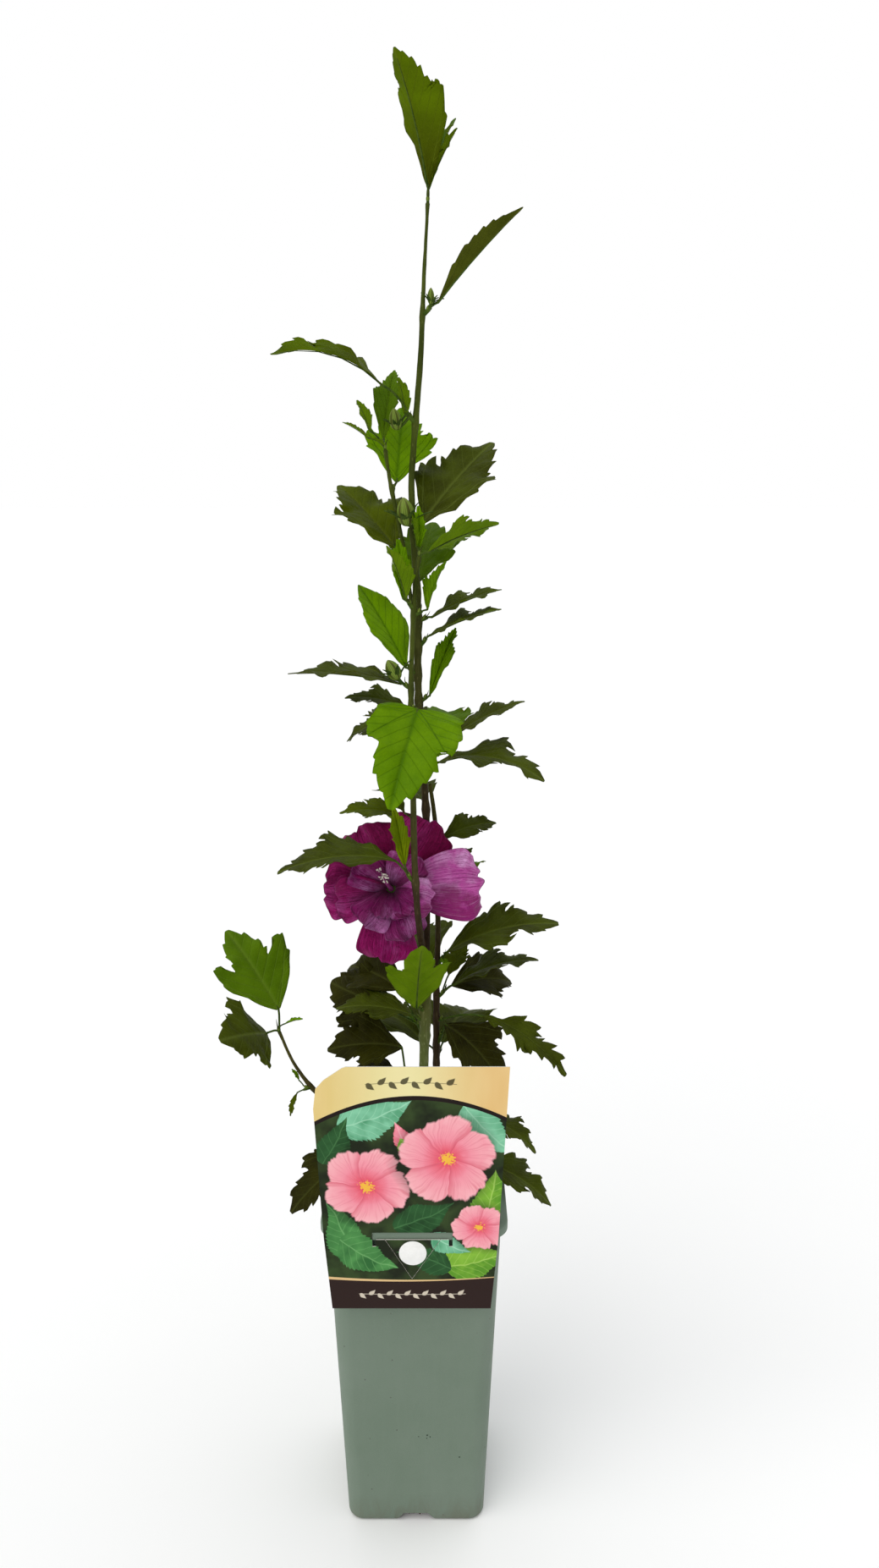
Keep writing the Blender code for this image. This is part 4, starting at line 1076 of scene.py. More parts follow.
def petal_sheet(blade, rng, gathered, ruffle, slot):
    """One petal as a closed thin skin: pleated at its claw, with a rolling, lightly nicked free edge."""
    phases = [rng.uniform(0, 6.28) for _ in range(9)]
    lean = rng.uniform(-0.35, 0.35)
    rows = blade.outline.rows
    s, across, height, places = [], [], [], []
    for row in range(PETAL_ROWS + 1):
        v = row / PETAL_ROWS
        middle, edge, width = blend_stations(rows, v * (len(rows) - 1))
        for column in range(PETAL_COLUMNS + 1):
            a = 2 * column / PETAL_COLUMNS - 1
            reach = abs(a)
            frill = 0.020 * math.sin(4.2 * a + phases[0]) + 0.010 * math.sin(11 * a + phases[1])
            notch = -0.05 * math.exp(-((a - lean) / 0.10) ** 2)
            s.append(middle + (edge - middle) * reach ** 1.7 + (frill + notch) * v ** 5)
            across.append(a * width * (1 + 0.05 * math.sin(6 * v + phases[2 + (a > 0)])))
            wave = math.sin(2.1 * math.pi * a + phases[4]) + 0.45 * math.sin(4.1 * math.pi * a + phases[5])
            rim = (0.2 + 0.8 * v ** 2.5) * v
            side = math.sin(2.4 * math.pi * v + phases[6] + (1.9 if a > 0 else 0)) * reach ** 2.5
            roll = math.sin(phases[8] + 1.5 * a) * max(0, v - 0.7) ** 2 * 5
            pleat = 0.012 * math.cos(9 * a + phases[7]) * math.sin(math.pi * min(1, 1.25 * v))
            height.append(blade.length * (ruffle * (wave * rim * 0.8 + side * v + roll) + pleat))
            places.append((0.5 + 0.5 * a, v))
    blade.sheet(gathered, PETAL_COLUMNS + 1, np.array(s), np.array(across), np.array(height), PETAL_SHEET,
                places, (slot, slot))


def build_petals(looks):
    petals = Gathered()
    for form, ruffle, seed, ring in PETAL_RINGS:
        rng = random.Random(seed)
        for angle, length, cup, slot in ring:
            outward, cup = round_bloom(math.radians(angle)), math.radians(cup)
            along = outward * math.cos(cup) + FACING * math.sin(cup)
            root = BLOOM_CENTRE + outward * BLOOM_EYE
            blade = Blade(FORMS[form], root, along, length * MM, rng.uniform(-8, 8), FACING)
            petal_sheet(blade, rng, petals, ruffle, slot)
    finish_piece(petals.build("bloom_petals"), [looks[name] for name in PETAL_LOOKS], "bloom", "bloom")


def column_at(place):
    """A point on the column of stamens, a distance in millimetres in front of the bloom's centre."""
    lean = (RIGHT * COLUMN_LEAN[0] + TOP * COLUMN_LEAN[1]) * (max(place, 0) / COLUMN_STEPS[-1]) ** 1.6
    return BLOOM_CENTRE + (FACING * place + lean) * MM


def build_stamens(looks, rng):
    column = Gathered()
    column.tube([column_at(place) for place in COLUMN_STEPS], mm(*COLUMN_RADII), 12, 2)
    for _ in range(STAMENS):
        outward = round_bloom(rng.uniform(0, 2 * math.pi))
        root = column_at(rng.uniform(*STAMEN_ROOTS))
        reach = rng.uniform(*STAMEN_REACH) * MM
        end = root + outward * reach + FACING * rng.uniform(*STAMEN_LIFT) * MM
        column.tube([root, root.lerp(end, 0.6) + FACING * 0.2 * MM, end], [STAMEN_RADIUS * MM] * 3, 5, 0)
        column.add(*bud_parts(end, outward, *mm(*ANTHER)), 1)
    materials = [looks["filament"], looks["anther"], looks["stamen_column"]]
    finish_piece(column.build("bloom_stamens"), materials, "bloom")


def build_calyx(looks, rng):
    """The bloom's stalk, the cup behind its petals and the lobes round the cup."""
    calyx = Gathered()
    back = BLOOM_CENTRE + FACING * CALYX_CUP[0][0] * MM
    axis, _, _ = limb_at(BLOOM_LIMB, BLOOM_HEIGHT)
    line = [axis, axis.lerp(back, 0.5) - UP * 0.8 * MM, back, back + FACING * 6 * MM]
    calyx.tube(curve_points(line, 4), [CALYX_STALK_RADIUS] * 13, 9, 0)
    cup = [BLOOM_CENTRE + FACING * at * MM for at, _ in CALYX_CUP]
    calyx.tube(cup, [radius * MM for _, radius in CALYX_CUP], 20, 0)
    for k in range(CALYX_LOBES):
        outward = round_bloom(2 * math.pi * (k + 0.5) / CALYX_LOBES)
        root = BLOOM_CENTRE - FACING * 5 * MM + outward * 5 * MM
        along = (outward * 0.9 + FACING * 0.5).normalized()
        blade = Blade(CALYX_LOBE, root, along, CALYX_LOBE_LENGTH, 0, FACING)
        leaf_sheet(blade, rng, calyx, (0, 0), wave=0.02)
    finish_piece(calyx.build("bloom_calyx"), [looks["bud_bract"]], "bloom")


def build_bloom(looks):
    build_petals(looks)
    rng = random.Random(4)
    build_stamens(looks, rng)
    build_calyx(looks, rng)


# Pot: a cube drawn up into a rounded square tub, its rim folded out, down and in again.

def body_width(z):
    return BODY_FOOT_WIDTH + (BODY_TOP_WIDTH - BODY_FOOT_WIDTH) * z / POT_HEIGHT


def set_cap(obj, width, z):
    """Puts the selected cap at a height and brings its outline to a width."""
    bm = bmesh.from_edit_mesh(obj.data)
    cap = [vert for vert in bm.verts if vert.select]
    now = max(vert.co.x for vert in cap) * 2
    for vert in cap:
        vert.co.x *= width / now
        vert.co.y *= width / now
        vert.co.z = z
    bmesh.update_edit_mesh(obj.data)


def draw_up(height):
    bpy.ops.mesh.extrude_region_move(TRANSFORM_OT_translate={"value": (0, 0, height)})


def cut_notches(obj, grow=0.0):
    """Cuts a wedge-sided block through the middle of each side of the foot."""
    inner, outer = BODY_FOOT_WIDTH / 2 - NOTCH_DEPTH - grow, BODY_TOP_WIDTH / 2
    for turn in range(4):
        cutter = added(bpy.ops.mesh.primitive_cube_add, "notch", size=1)
        for vert in cutter.data.vertices:
            high = vert.co.z > 0
            half = (NOTCH_TOP_WIDTH if high else NOTCH_FOOT_WIDTH + 8 * MM) / 2 + grow
            x = outer if vert.co.x > 0 else inner
            z = NOTCH_HEIGHT + grow if high else -NOTCH_HEIGHT * 0.8
            place = Vector((x, math.copysign(half, vert.co.y), z))
            vert.co = Quaternion(UP, math.radians(90 * turn)) @ place
        cut_by(obj, cutter)


def build_pot(looks):
    obj = added(bpy.ops.mesh.primitive_cube_add, "pot_tub", size=1)
    for vert in obj.data.vertices:
        vert.co = (vert.co.x * BODY_FOOT_WIDTH, vert.co.y * BODY_FOOT_WIDTH, (vert.co.z + 0.5) * 40 * MM)
    foot, shoulder = FOOT_ROUND * 2, POT_HEIGHT - RIM_WALL
    wall = [foot + (shoulder - foot) * part / 8 for part in range(1, 9)]
    flange = POT_HEIGHT - RIM_DROP
    inner = body_width(POT_HEIGHT) - 2 * POT_WALL
    profile = [(body_width(z), z) for z in wall] + [
        (RIM_WIDTH - 2 * RIM_WALL, shoulder), (RIM_WIDTH - 2 * RIM_WALL, flange),
        (RIM_WIDTH - 0.6 * RIM_WALL, flange - 0.15 * MM), (RIM_WIDTH, flange + 0.4 * MM),
        (RIM_WIDTH, POT_HEIGHT - RIM_ROUND), (RIM_WIDTH - 0.5 * RIM_ROUND, POT_HEIGHT - 0.25 * RIM_ROUND),
        (RIM_WIDTH - 2 * RIM_ROUND, POT_HEIGHT), (inner + 1.2 * MM, POT_HEIGHT),
        (inner, POT_HEIGHT - 0.6 * MM), (body_width(SOIL_TOP) - 2 * POT_WALL, SOIL_TOP),
        (BODY_FOOT_WIDTH - 2 * POT_WALL, POT_WALL),
    ]
    with editing(obj):
        select_in(obj, "EDGE", lambda edge: abs(edge.verts[0].co.z - edge.verts[1].co.z) > MM)
        bpy.ops.mesh.bevel(offset=CORNER_RADIUS, segments=10, profile=0.5)
        select_in(obj, "FACE", lambda face: face.normal.z > 0.9)
        set_cap(obj, body_width(foot), foot)
        for width, z in profile:
            draw_up(0.1 * MM)
            set_cap(obj, width, z)
        select_in(obj, "EDGE", lambda edge: max(vert.co.z for vert in edge.verts) < 0.1 * MM)
        bpy.ops.mesh.bevel(offset=FOOT_ROUND, segments=5, profile=0.5)
    cut_notches(obj)
    apply_modifier(obj, "BEVEL", width=0.35 * MM, segments=2, limit_method="ANGLE",
                   angle_limit=math.radians(50))
    smooth(obj, 40)
    finish_piece(obj, [looks["pot_plastic"]], "pot", "pot")
    pips = Gathered()
    for x, z, size in MOULDING_PIPS:
        place = Vector((x * MM, -body_width(z * MM) / 2, z * MM))
        points = [place + Vector((0, depth * MM, 0)) for depth in (0.3, -0.05, -0.22, -0.28)]
        pips.tube(points, mm(size, size, size * 0.7, size * 0.2), 10, 0)
    finish_piece(pips.build("pot_moulding_pips"), [looks["moulding_pip"]], "pot")


# Soil: a grid pushed up into clods, with loose crumbs, bark chips and grit.

SOIL_HALF = body_width(SOIL_TOP) / 2 - POT_WALL - 0.4 * MM
SOIL_CORNER = CORNER_RADIUS - POT_WALL


def past_corner(x, y):
    """How far a place lies beyond the straight sides of the soil's rounded square, both ways."""
    return Vector((max(abs(x) - SOIL_HALF + SOIL_CORNER, 0), max(abs(y) - SOIL_HALF + SOIL_CORNER, 0)))


def build_soil_bed(looks):
    obj = added(bpy.ops.mesh.primitive_grid_add, "soil_bed", x_subdivisions=SOIL_CELLS,
                y_subdivisions=SOIL_CELLS, size=1)
    for vert in obj.data.vertices:
        x, y = 2 * SOIL_HALF * vert.co.x, 2 * SOIL_HALF * vert.co.y
        over = past_corner(x, y)
        if over.length > SOIL_CORNER:
            over *= SOIL_CORNER / over.length
            x = math.copysign(SOIL_HALF - SOIL_CORNER + over.x, x) if over.x else x
            y = math.copysign(SOIL_HALF - SOIL_CORNER + over.y, y) if over.y else y
        vert.co = (x, y, SOIL_LEVEL)
    with editing(obj):
        draw_up(0.3 * MM)
    narrowed = (BODY_FOOT_WIDTH - 2 * POT_WALL) / (2 * SOIL_HALF) * 0.985
    for vert in [vert for vert in obj.data.vertices if vert.co.z < SOIL_TOP - 0.4 * MM]:
        vert.co = (vert.co.x * narrowed, vert.co.y * narrowed, POT_WALL + 0.4 * MM)
    with editing(obj):
        bpy.ops.mesh.normals_make_consistent(inside=False)
    cut_notches(obj, 0.4 * MM)
    top = obj.vertex_groups.new(name="top")
    for grain, strength in CLODS:
        texture = bpy.data.textures.new("clods", "CLOUDS")
        texture.noise_scale = grain * MM
        top.add([v.index for v in obj.data.vertices if v.co.z > SOIL_TOP - 6 * MM], 1, "REPLACE")
        apply_modifier(obj, "DISPLACE", texture=texture, texture_coords="LOCAL", direction="Z",
                       vertex_group="top", strength=strength * MM, mid_level=0.62)
    smooth(obj, 60)
    finish_piece(obj, [looks["potting_soil"]], "soil", "soil")


def jolt(rng):
    return Vector((rng.uniform(-1, 1), rng.uniform(-1, 1), rng.uniform(-1, 1)))


def add_crumb(gathered, place, size, rng, slot):
    """An irregular faceted lump."""
    axis = jolt(rng).normalized()
    points = [place + axis * size * at for at in (-0.8, -0.35, 0.3, 0.75)]
    radii = [size * rng.uniform(*span) for span in ((0.2, 0.45), (0.5, 0.9), (0.45, 0.85), (0.15, 0.4))]
    rows, faces, places = tube_parts(points, radii, 6)
    gathered.add([row + jolt(rng) * size * 0.12 for row in rows], faces, places, slot)


def build_crumbs(looks):
    """Loose crumbs, chips and grit on the soil, and crumbs at the two notches that are seen through."""
    rng = random.Random(8)
    crumbs = Gathered()
    for k in range(CRUMBS + GRIT):
        x, y = (rng.uniform(-SOIL_HALF, SOIL_HALF) * 0.97 for _ in range(2))
        if past_corner(x, y).length > SOIL_CORNER - 1.5 * MM:
            continue
        size = rng.uniform(*(CRUMB_SIZES if k < CRUMBS else GRIT_SIZES)) * MM
        slot = 0 if k < 0.8 * CRUMBS else 1 if k < CRUMBS else 2
        add_crumb(crumbs, Vector((x, y, SOIL_LEVEL)), size, rng, slot)
    for side in (-1, 1):
        for k in range(NOTCH_CRUMBS):
            x = rng.uniform(-7, 7) * MM
            y = side * (BODY_FOOT_WIDTH / 2 - rng.uniform(0.5, 6) * MM)
            z = NOTCH_HEIGHT - rng.uniform(0.1, 1.2) * MM
            add_crumb(crumbs, Vector((x, y, z)), rng.uniform(0.4, 0.9) * MM, rng, int(k % 6 == 0))
    materials = [looks["potting_soil"], looks["bark_chip"], looks["grit"]]
    finish_piece(crumbs.build("soil_crumbs"), materials, "soil")


# Card: a thin sheet with a swept corner, hung over the rim by its slot and tongue.

def card_width(z):
    rim = POT_HEIGHT - RIM_DROP / 2
    if z < rim:
        return CARD_FOOT_WIDTH + (CARD_RIM_WIDTH - CARD_FOOT_WIDTH) * (z - CARD_FOOT) / (rim - CARD_FOOT)
    return CARD_RIM_WIDTH + (CARD_TOP_WIDTH - CARD_RIM_WIDTH) * (z - rim) / (CARD_TOP - rim)


def slot_boxes():
    """The cuts of the slot: its bar, a hook at each end and the two sides of the tongue, in millimetres."""
    x, z, width, height = SLOT
    hook_width, hook_height = SLOT_HOOK
    yield (x, z), (width, height), 0
    for side in (-1, 1):
        yield (x + side * (width - hook_width) / 2, z - height / 2), SLOT_HOOK, 0
    for start, end in zip(TONGUE, TONGUE[1:]):
        run, rise = end[0] - start[0], end[1] - start[1]
        middle = ((start[0] + end[0]) / 2, (start[1] + end[1]) / 2)
        yield middle, (math.hypot(run, rise), 0.3), -math.atan2(rise, run)


def build_card(looks):
    obj = added(bpy.ops.mesh.primitive_grid_add, "picture_card", x_subdivisions=36, y_subdivisions=52, size=1,
                rotation=(math.pi / 2, 0, 0))
    for vert in obj.data.vertices:
        z = CARD_FOOT + (CARD_TOP - CARD_FOOT) * (vert.co.z + 0.5)
        vert.co = (CARD_SHIFT + vert.co.x * card_width(z), CARD_FRONT + CARD_THICKNESS / 2, z)
    across, down = CARD_CORNER
    for at, lean in CORNER_CUTS:
        place = (CARD_SHIFT - CARD_TOP_WIDTH / 2 + across * at, CARD_FRONT, CARD_TOP - down * (1 - at) * 0.93)
        normal = (-math.sin(lean), 0, math.cos(lean))
        with editing(obj):
            bpy.ops.mesh.bisect(plane_co=place, plane_no=normal, clear_outer=True, use_fill=False)
    apply_modifier(obj, "SOLIDIFY", thickness=CARD_THICKNESS, offset=0)
    for (x, z), (width, height), turn in slot_boxes():
        cutter = added(bpy.ops.mesh.primitive_cube_add, "slot", size=1)
        for vert in cutter.data.vertices:
            place = Vector((vert.co.x * width, vert.co.y * 8, vert.co.z * height)) * MM
            vert.co = Quaternion((0, 1, 0), turn) @ place + Vector((x * MM, CARD_FRONT, z * MM))
        cut_by(obj, cutter)
    obj.data.materials.clear()
    smooth(obj, 30)
    finish_piece(obj, [looks["card_print"], looks["card_back"]], "card", "card")
    for polygon in obj.data.polygons:
        polygon.material_index = 0 if polygon.normal.y < -0.7 else 1
    x, z, radius = mm(*DISC)
    disc = added(bpy.ops.mesh.primitive_cylinder_add, "card_disc", vertices=64, radius=radius,
                 depth=0.16 * MM, location=(x, CARD_FRONT - 0.07 * MM, z), rotation=(math.pi / 2, 0, 0))
    apply_modifier(disc, "BEVEL", width=0.05 * MM, segments=2, limit_method="ANGLE")
    smooth(disc, 40)
    finish_piece(disc, [looks["card_disc"]], "card")


# Node trees: values that take plain arithmetic, and short ways to lay the nodes used most.

def calc(operation, *values):
    """Adds a maths node to the tree that its values are in."""
    tree = next(value.socket.id_data for value in values if isinstance(value, Term))
    node = tree.nodes.new("ShaderNodeMath")
    node.operation = operation
    for socket, value in zip(node.inputs, values):
        feed(socket, value)
    return Term(node.outputs[0])


def held(term):
    """Holds the last sum between 0 and 1."""
    term.socket.node.use_clamp = True
    return term


def sign(operation, turned=False):
    return lambda one, other: calc(operation, *((other, one) if turned else (one, other)))


class Term:
    """A value in a node tree. Each sign used on it adds a maths node."""

    def __init__(self, socket):
        self.socket = socket

    __add__, __radd__ = sign("ADD"), sign("ADD", True)
    __sub__, __rsub__ = sign("SUBTRACT"), sign("SUBTRACT", True)
    __mul__, __rmul__ = sign("MULTIPLY"), sign("MULTIPLY", True)
    __pow__, __rpow__ = sign("POWER"), sign("POWER", True)
    __truediv__ = sign("DIVIDE")
    __gt__, __lt__ = sign("GREATER_THAN"), sign("LESS_THAN")

    def __abs__(self):
        return calc("ABSOLUTE", self)


def feed(socket, value):
    """Links a value to a socket, or sets the socket's own number or colour."""
    if isinstance(value, Term):
        socket.id_data.links.new(value.socket, socket)
    elif isinstance(value, tuple) and len(value) == 3 and socket.type == "RGBA":
        socket.default_value = (*value, 1)
    else:
        socket.default_value = value


def terms_of(node):
    """A node's outputs, by number and by name."""
    return {key: Term(socket) for at, socket in enumerate(node.outputs) for key in (at, socket.name)}


class Net:
    """A node tree and a short way to lay its nodes."""

    def __init__(self, tree):
        self.tree = tree

    def node(self, kind, inputs=None, **settings):
        node = self.tree.nodes.new("ShaderNode" + kind)
        for key, value in settings.items():
            setattr(node, key, value)
        for key, value in (inputs or {}).items():
            feed(node.inputs[key], value)
        return terms_of(node)

    def mix(self, factor, low, high):
        return self.node("Mix", {0: factor, 6: low, 7: high}, data_type="RGBA")[2]

    def layers(self, base, *layers):
        """Lays colours over a base. Each comes with the value that shows it, and perhaps with that value's
        low and high and the strengths there."""
        for colour, value, *span in layers:
            base = self.mix(self.span(value, *span) if span else value, base, colour)
        return base

    def noise(self, place, scale, detail=3, roughness=0.55, distortion=0.0):
        values = {"Vector": place, "Scale": scale, "Detail": detail, "Roughness": roughness}
        return self.node("TexNoise", {**values, "Distortion": distortion})["Fac"]

    def cells(self, place, scale, **settings):
        return self.node("TexVoronoi", {"Vector": place, "Scale": scale}, **settings)[0]

    def span(self, value, low, high, new_low=0.0, new_high=1.0):
        values = {"Value": value, "From Min": low, "From Max": high, "To Min": new_low, "To Max": new_high}
        return self.node("MapRange", values)[0]

    def parts(self, place):
        terms = self.node("SeparateXYZ", {0: place})
        return terms[0], terms[1], terms[2]

    def joined(self, *values):
        return self.node("CombineXYZ", dict(enumerate(values)))[0]


class Group(Net):
    """A shared node group, which takes values or a place and gives out values only."""

    def __init__(self, name, inputs, outputs, kind="Float"):
        super().__init__(bpy.data.node_groups.new(name, "ShaderNodeTree"))
        for label in inputs:
            self.tree.interface.new_socket(label, in_out="INPUT", socket_type="NodeSocket" + kind)
        for label in outputs:
            self.tree.interface.new_socket(label, in_out="OUTPUT", socket_type="NodeSocketFloat")
        self.given = terms_of(self.tree.nodes.new("NodeGroupInput"))
        self.out = self.tree.nodes.new("NodeGroupOutput").inputs

    def give(self, **values):
        for label, value in values.items():
            feed(self.out[label], value)
        return self.tree


class Look(Net):
    """A material, with its shader's own constants set and the place on the object at hand."""

    def __init__(self, name, roughness=0.5, **sockets):
        self.material = bpy.data.materials.new(name)
        self.material.use_nodes = True
        super().__init__(self.material.node_tree)
        self.sockets = self.tree.nodes["Principled BSDF"].inputs
        for key, value in {"Roughness": roughness, **sockets}.items():
            self.sockets[key.replace("_", " ")].default_value = value
        self.here = self.node("TexCoord")["Object"]

    def place(self):
        return self.node("UVMap", uv_map="place")[0]

    def stretched(self, scale, place=None):
        return self.node("Mapping", {"Vector": place or self.here, "Scale": scale})[0]

    def finish(self, colour, height=None, distance=0.0001, roughness=None):
        """Feeds the shader its colour, relief and roughness, and hands back the material."""
        feed(self.sockets["Base Color"], colour)
        if roughness:
            feed(self.sockets["Roughness"], roughness)
        if height:
            bump = self.node("Bump", {"Height": height, "Distance": distance, "Strength": 1.0})
            feed(self.sockets["Normal"], bump["Normal"])
        return self.material


# Materials of the shrub.

def vein_group():
    """Main veins, side veins and the fine net between them, from a place in the leaf."""
    group = Group("leaf veins", ["Place"], ["Main", "Side", "Net"], "Vector")

    def line(distance, width):
        return 2.718 ** ((distance / width) ** 2.0 * -1.0)

    def ladder(slope, rate, width):
        gap = abs(calc("FRACT", (s - u * slope) * rate) - 0.5)
        return line(gap / rate, width)

    across, s, _ = group.parts(group.given["Place"])
    u = abs((across - 0.5) * 2.0)
    lobe = s - u * LOBE_SLOPE
    main = line(u, 0.045) + (line(lobe, 0.010) + line(s - u * LOWER_SLOPE, 0.007) * 0.8)
    above = lobe > 0.0
    inner = ladder(SIDE_SLOPE, SIDE_RATE, 0.006) * above
    outer = ladder(OUTER_SLOPE, OUTER_RATE, 0.005) * (1.0 - above)
    net = group.cells(group.given["Place"], 26.0, feature="DISTANCE_TO_EDGE")
    return group.give(Main=calc("MINIMUM", main, 1.0), Side=inner + outer, Net=1.0 - held(net * 9.0))


def leaf_look(name, veins):
    """Mottled leaf skin with paler veins, and on the backlit tones darker veins as painted backlight; the
    veins are sunk above and stand proud beneath.
    """
    under = name in UNDERS
    low, high, vein = UNDERS[name] if under else TONES[name]
    roughness = 0.62 if under else 0.46
    look = Look("leaf_" + name, roughness, Specular_IOR_Level=0.02 if under else 0.035)
    place = look.place()
    pattern = look.node("Group", node_tree=veins, inputs={"Place": place})
    mottle = look.noise(look.here, 55, 4)
    fleck = look.noise(look.here, 900, 2)
    base = look.layers(low, (high, mottle, 0.35, 0.68), (high, fleck, 0.5, 0.75, 0, 0.18))
    if name == "under_olive":
        base = look.layers(base, (LEAF_FOOT, look.parts(place)[1], 0.08, 0.62, 0.8, 0))
    base = look.layers(base, (vein, pattern["Side"] * 0.38), (vein, pattern["Main"] * 0.65),
                       (vein, pattern["Net"] * 0.12))
    sunk = pattern["Main"] * 1.4 + pattern["Side"] + pattern["Net"] * 0.25
    height = sunk if under else 1.0 - sunk
    rough = look.span(mottle, 0.3, 0.7, roughness - 0.07, roughness + 0.09)
    return look.finish(base, height + fleck * 0.5, 0.00018, rough)


def bark_look(name, old, young, low_height, high_height):
    """Fibrous bark with lenticels, that changes from its old colours to its young ones with height."""
    look = Look(name, 0.6, Specular_IOR_Level=0.1)
    fibres = look.noise(look.stretched((1, 1, 0.12)), 900, 4)
    patches = look.noise(look.stretched((1, 1, 0.45)), 110, 3)
    lenticels = look.cells(look.stretched((1, 1, 0.5)), 420.0)
    height = look.parts(look.here)[2] + (patches - 0.5) * 0.06
    ages = [
        look.layers(low, (high, patches, 0.35, 0.65), (streak, fibres, 0.55, 0.78, 0, 0.75),
                    (streak, lenticels, 0.12, 0.22, 0.55, 0))
        for low, high, streak in (BARK_COLOURS[old], BARK_COLOURS[young])
    ]
    base = look.mix(look.span(height, low_height, high_height), *ages)
    return look.finish(base, fibres + lenticels * -0.4, 0.0003, look.span(fibres, 0.3, 0.7, 0.5, 0.75))


def plain_look(name, low, high, scale, roughness):
    """A finish of two close colours in soft patches, with a fine relief of its own."""
    look = Look(name, roughness, Specular_IOR_Level=0.06)
    fine = look.noise(look.here, scale * 6, 3)
    base = look.layers(low, (high, look.noise(look.here, scale, 3), 0.35, 0.65))
    return look.finish(base, fine, 0.0001, look.span(fine, 0.3, 0.7, roughness - 0.06, roughness + 0.08))


def bud_look():
    """Green sepals, finely streaked, darker in the seams between them and paler at the tip."""
    look = Look("bud", 0.5, Specular_IOR_Level=0.1)
    across, along, _ = look.parts(look.place())
    turn = across * (2 * math.pi * BUD_SEAMS)
    seam = abs(calc("SINE", turn * 0.5)) ** 10.0
    base = look.layers(
        (0.090, 0.150, 0.012), ((0.200, 0.270, 0.045), calc("SINE", turn * 5.0), -1, 1),
        ((0.035, 0.028, 0.004), seam * 0.85), ((0.26, 0.32, 0.08), along, 0.62, 1.0, 0, 0.4),
    )
    return look.finish(base, look.noise(look.here, 1500, 2))


def petal_look(name, throat, body, pale, streak, shade):
    """Silky petal: dark at the throat, veined along its length, washed with lilac that is partly painted
    sheen, with painted shade on one side and in its creases.
    """
    look = Look(name, 0.6, Specular_IOR_Level=0.08, Sheen_Weight=0.06, Sheen_Roughness=0.4)
    place = look.place()
    across, along, _ = look.parts(place)
    veins = look.noise(look.stretched((30, 1.6, 1), place), 1.0, 5, 0.6, 0.4)
    fine = look.noise(look.stretched((55, 3, 1), place), 1.0, 3, 0.6)
    clouds = look.noise(look.here, 75, 4, 0.6)
    creases = look.noise(look.here, 190, 5, 0.62, 1.2)
    # Painted light: the pale wash stands partly for sheen, the shade colour on the folded side for the fold's
    # shade, and the streak colour over the creases for their shade.
    base = look.layers(
        body, (pale, clouds, 0.42, 0.64), (shade, across + (clouds - 0.5) * 0.9, 0.50, 0.68, 0, 0.85),
        (streak, veins, 0.50, 0.68, 0, 0.8), (streak, abs(fine - 0.5), 0.004, 0.035, 0.75, 0),
        (streak, fine, 0.54, 0.72, 0, 0.55), (pale, fine, 0.28, 0.45, 0.4, 0),
        (streak, creases, 0.55, 0.70, 0, 0.35), (throat, along, 0.04, 0.40, 0.9, 0),
        (pale, along, 0.93, 0.985, 0, 0.35), (streak, along, 0.965, 1.0, 0, 0.8),
    )
    return look.finish(base, veins + fine * 0.5 + creases * 1.3, 0.0012)


# Materials of the pot, the soil and the card.

def pot_look():
    """Matt grey-green moulded plastic: a fine leathery skin, faint drag lines, rub marks and a dusty foot."""
    look = Look("pot_plastic", 0.5, Specular_IOR_Level=0.3)
    patches = look.noise(look.here, 16, 3)
    drag = look.noise(look.stretched((1, 1, 0.04)), 240, 3)
    grain = look.noise(look.here, 2200, 2)
    scuffs = look.noise(look.stretched((1, 1, 0.25)), 90, 5, 0.7, 1.2)
    specks = look.cells(look.here, 95.0)
    dust = look.span(look.parts(look.here)[2], 0.0, 0.022, 0.5, 0) * look.span(scuffs, 0.4, 0.6)
    base = look.layers(
        (0.148, 0.204, 0.150), ((0.170, 0.224, 0.172), patches, 0.35, 0.68),
        ((0.215, 0.275, 0.215), drag, 0.45, 0.7, 0, 0.05), ((0.27, 0.32, 0.26), scuffs, 0.66, 0.74, 0, 0.22),
        ((0.05, 0.08, 0.06), grain, 0.35, 0.65, 0.10, 0), ((0.06, 0.05, 0.035), specks, 0.035, 0.06, 0.65, 0),
        ((0.13, 0.115, 0.080), dust),
    )
    return look.finish(base, grain + drag * 0.25, 0.0001, look.span(scuffs, 0.35, 0.7, 0.44, 0.62))


def soil_look():
    look = Look("potting_soil", 0.95, Specular_IOR_Level=0.2)
    clods = look.noise(look.here, 260, 5, 0.7)
    fibres = look.noise(look.stretched((1, 0.2, 1)), 900, 3)
    base = look.layers((0.018, 0.010, 0.006), ((0.085, 0.046, 0.026), clods, 0.35, 0.65),
                       ((0.20, 0.12, 0.065), fibres, 0.62, 0.72, 0, 0.5))
    return look.finish(base, clods + fibres, 0.0008)


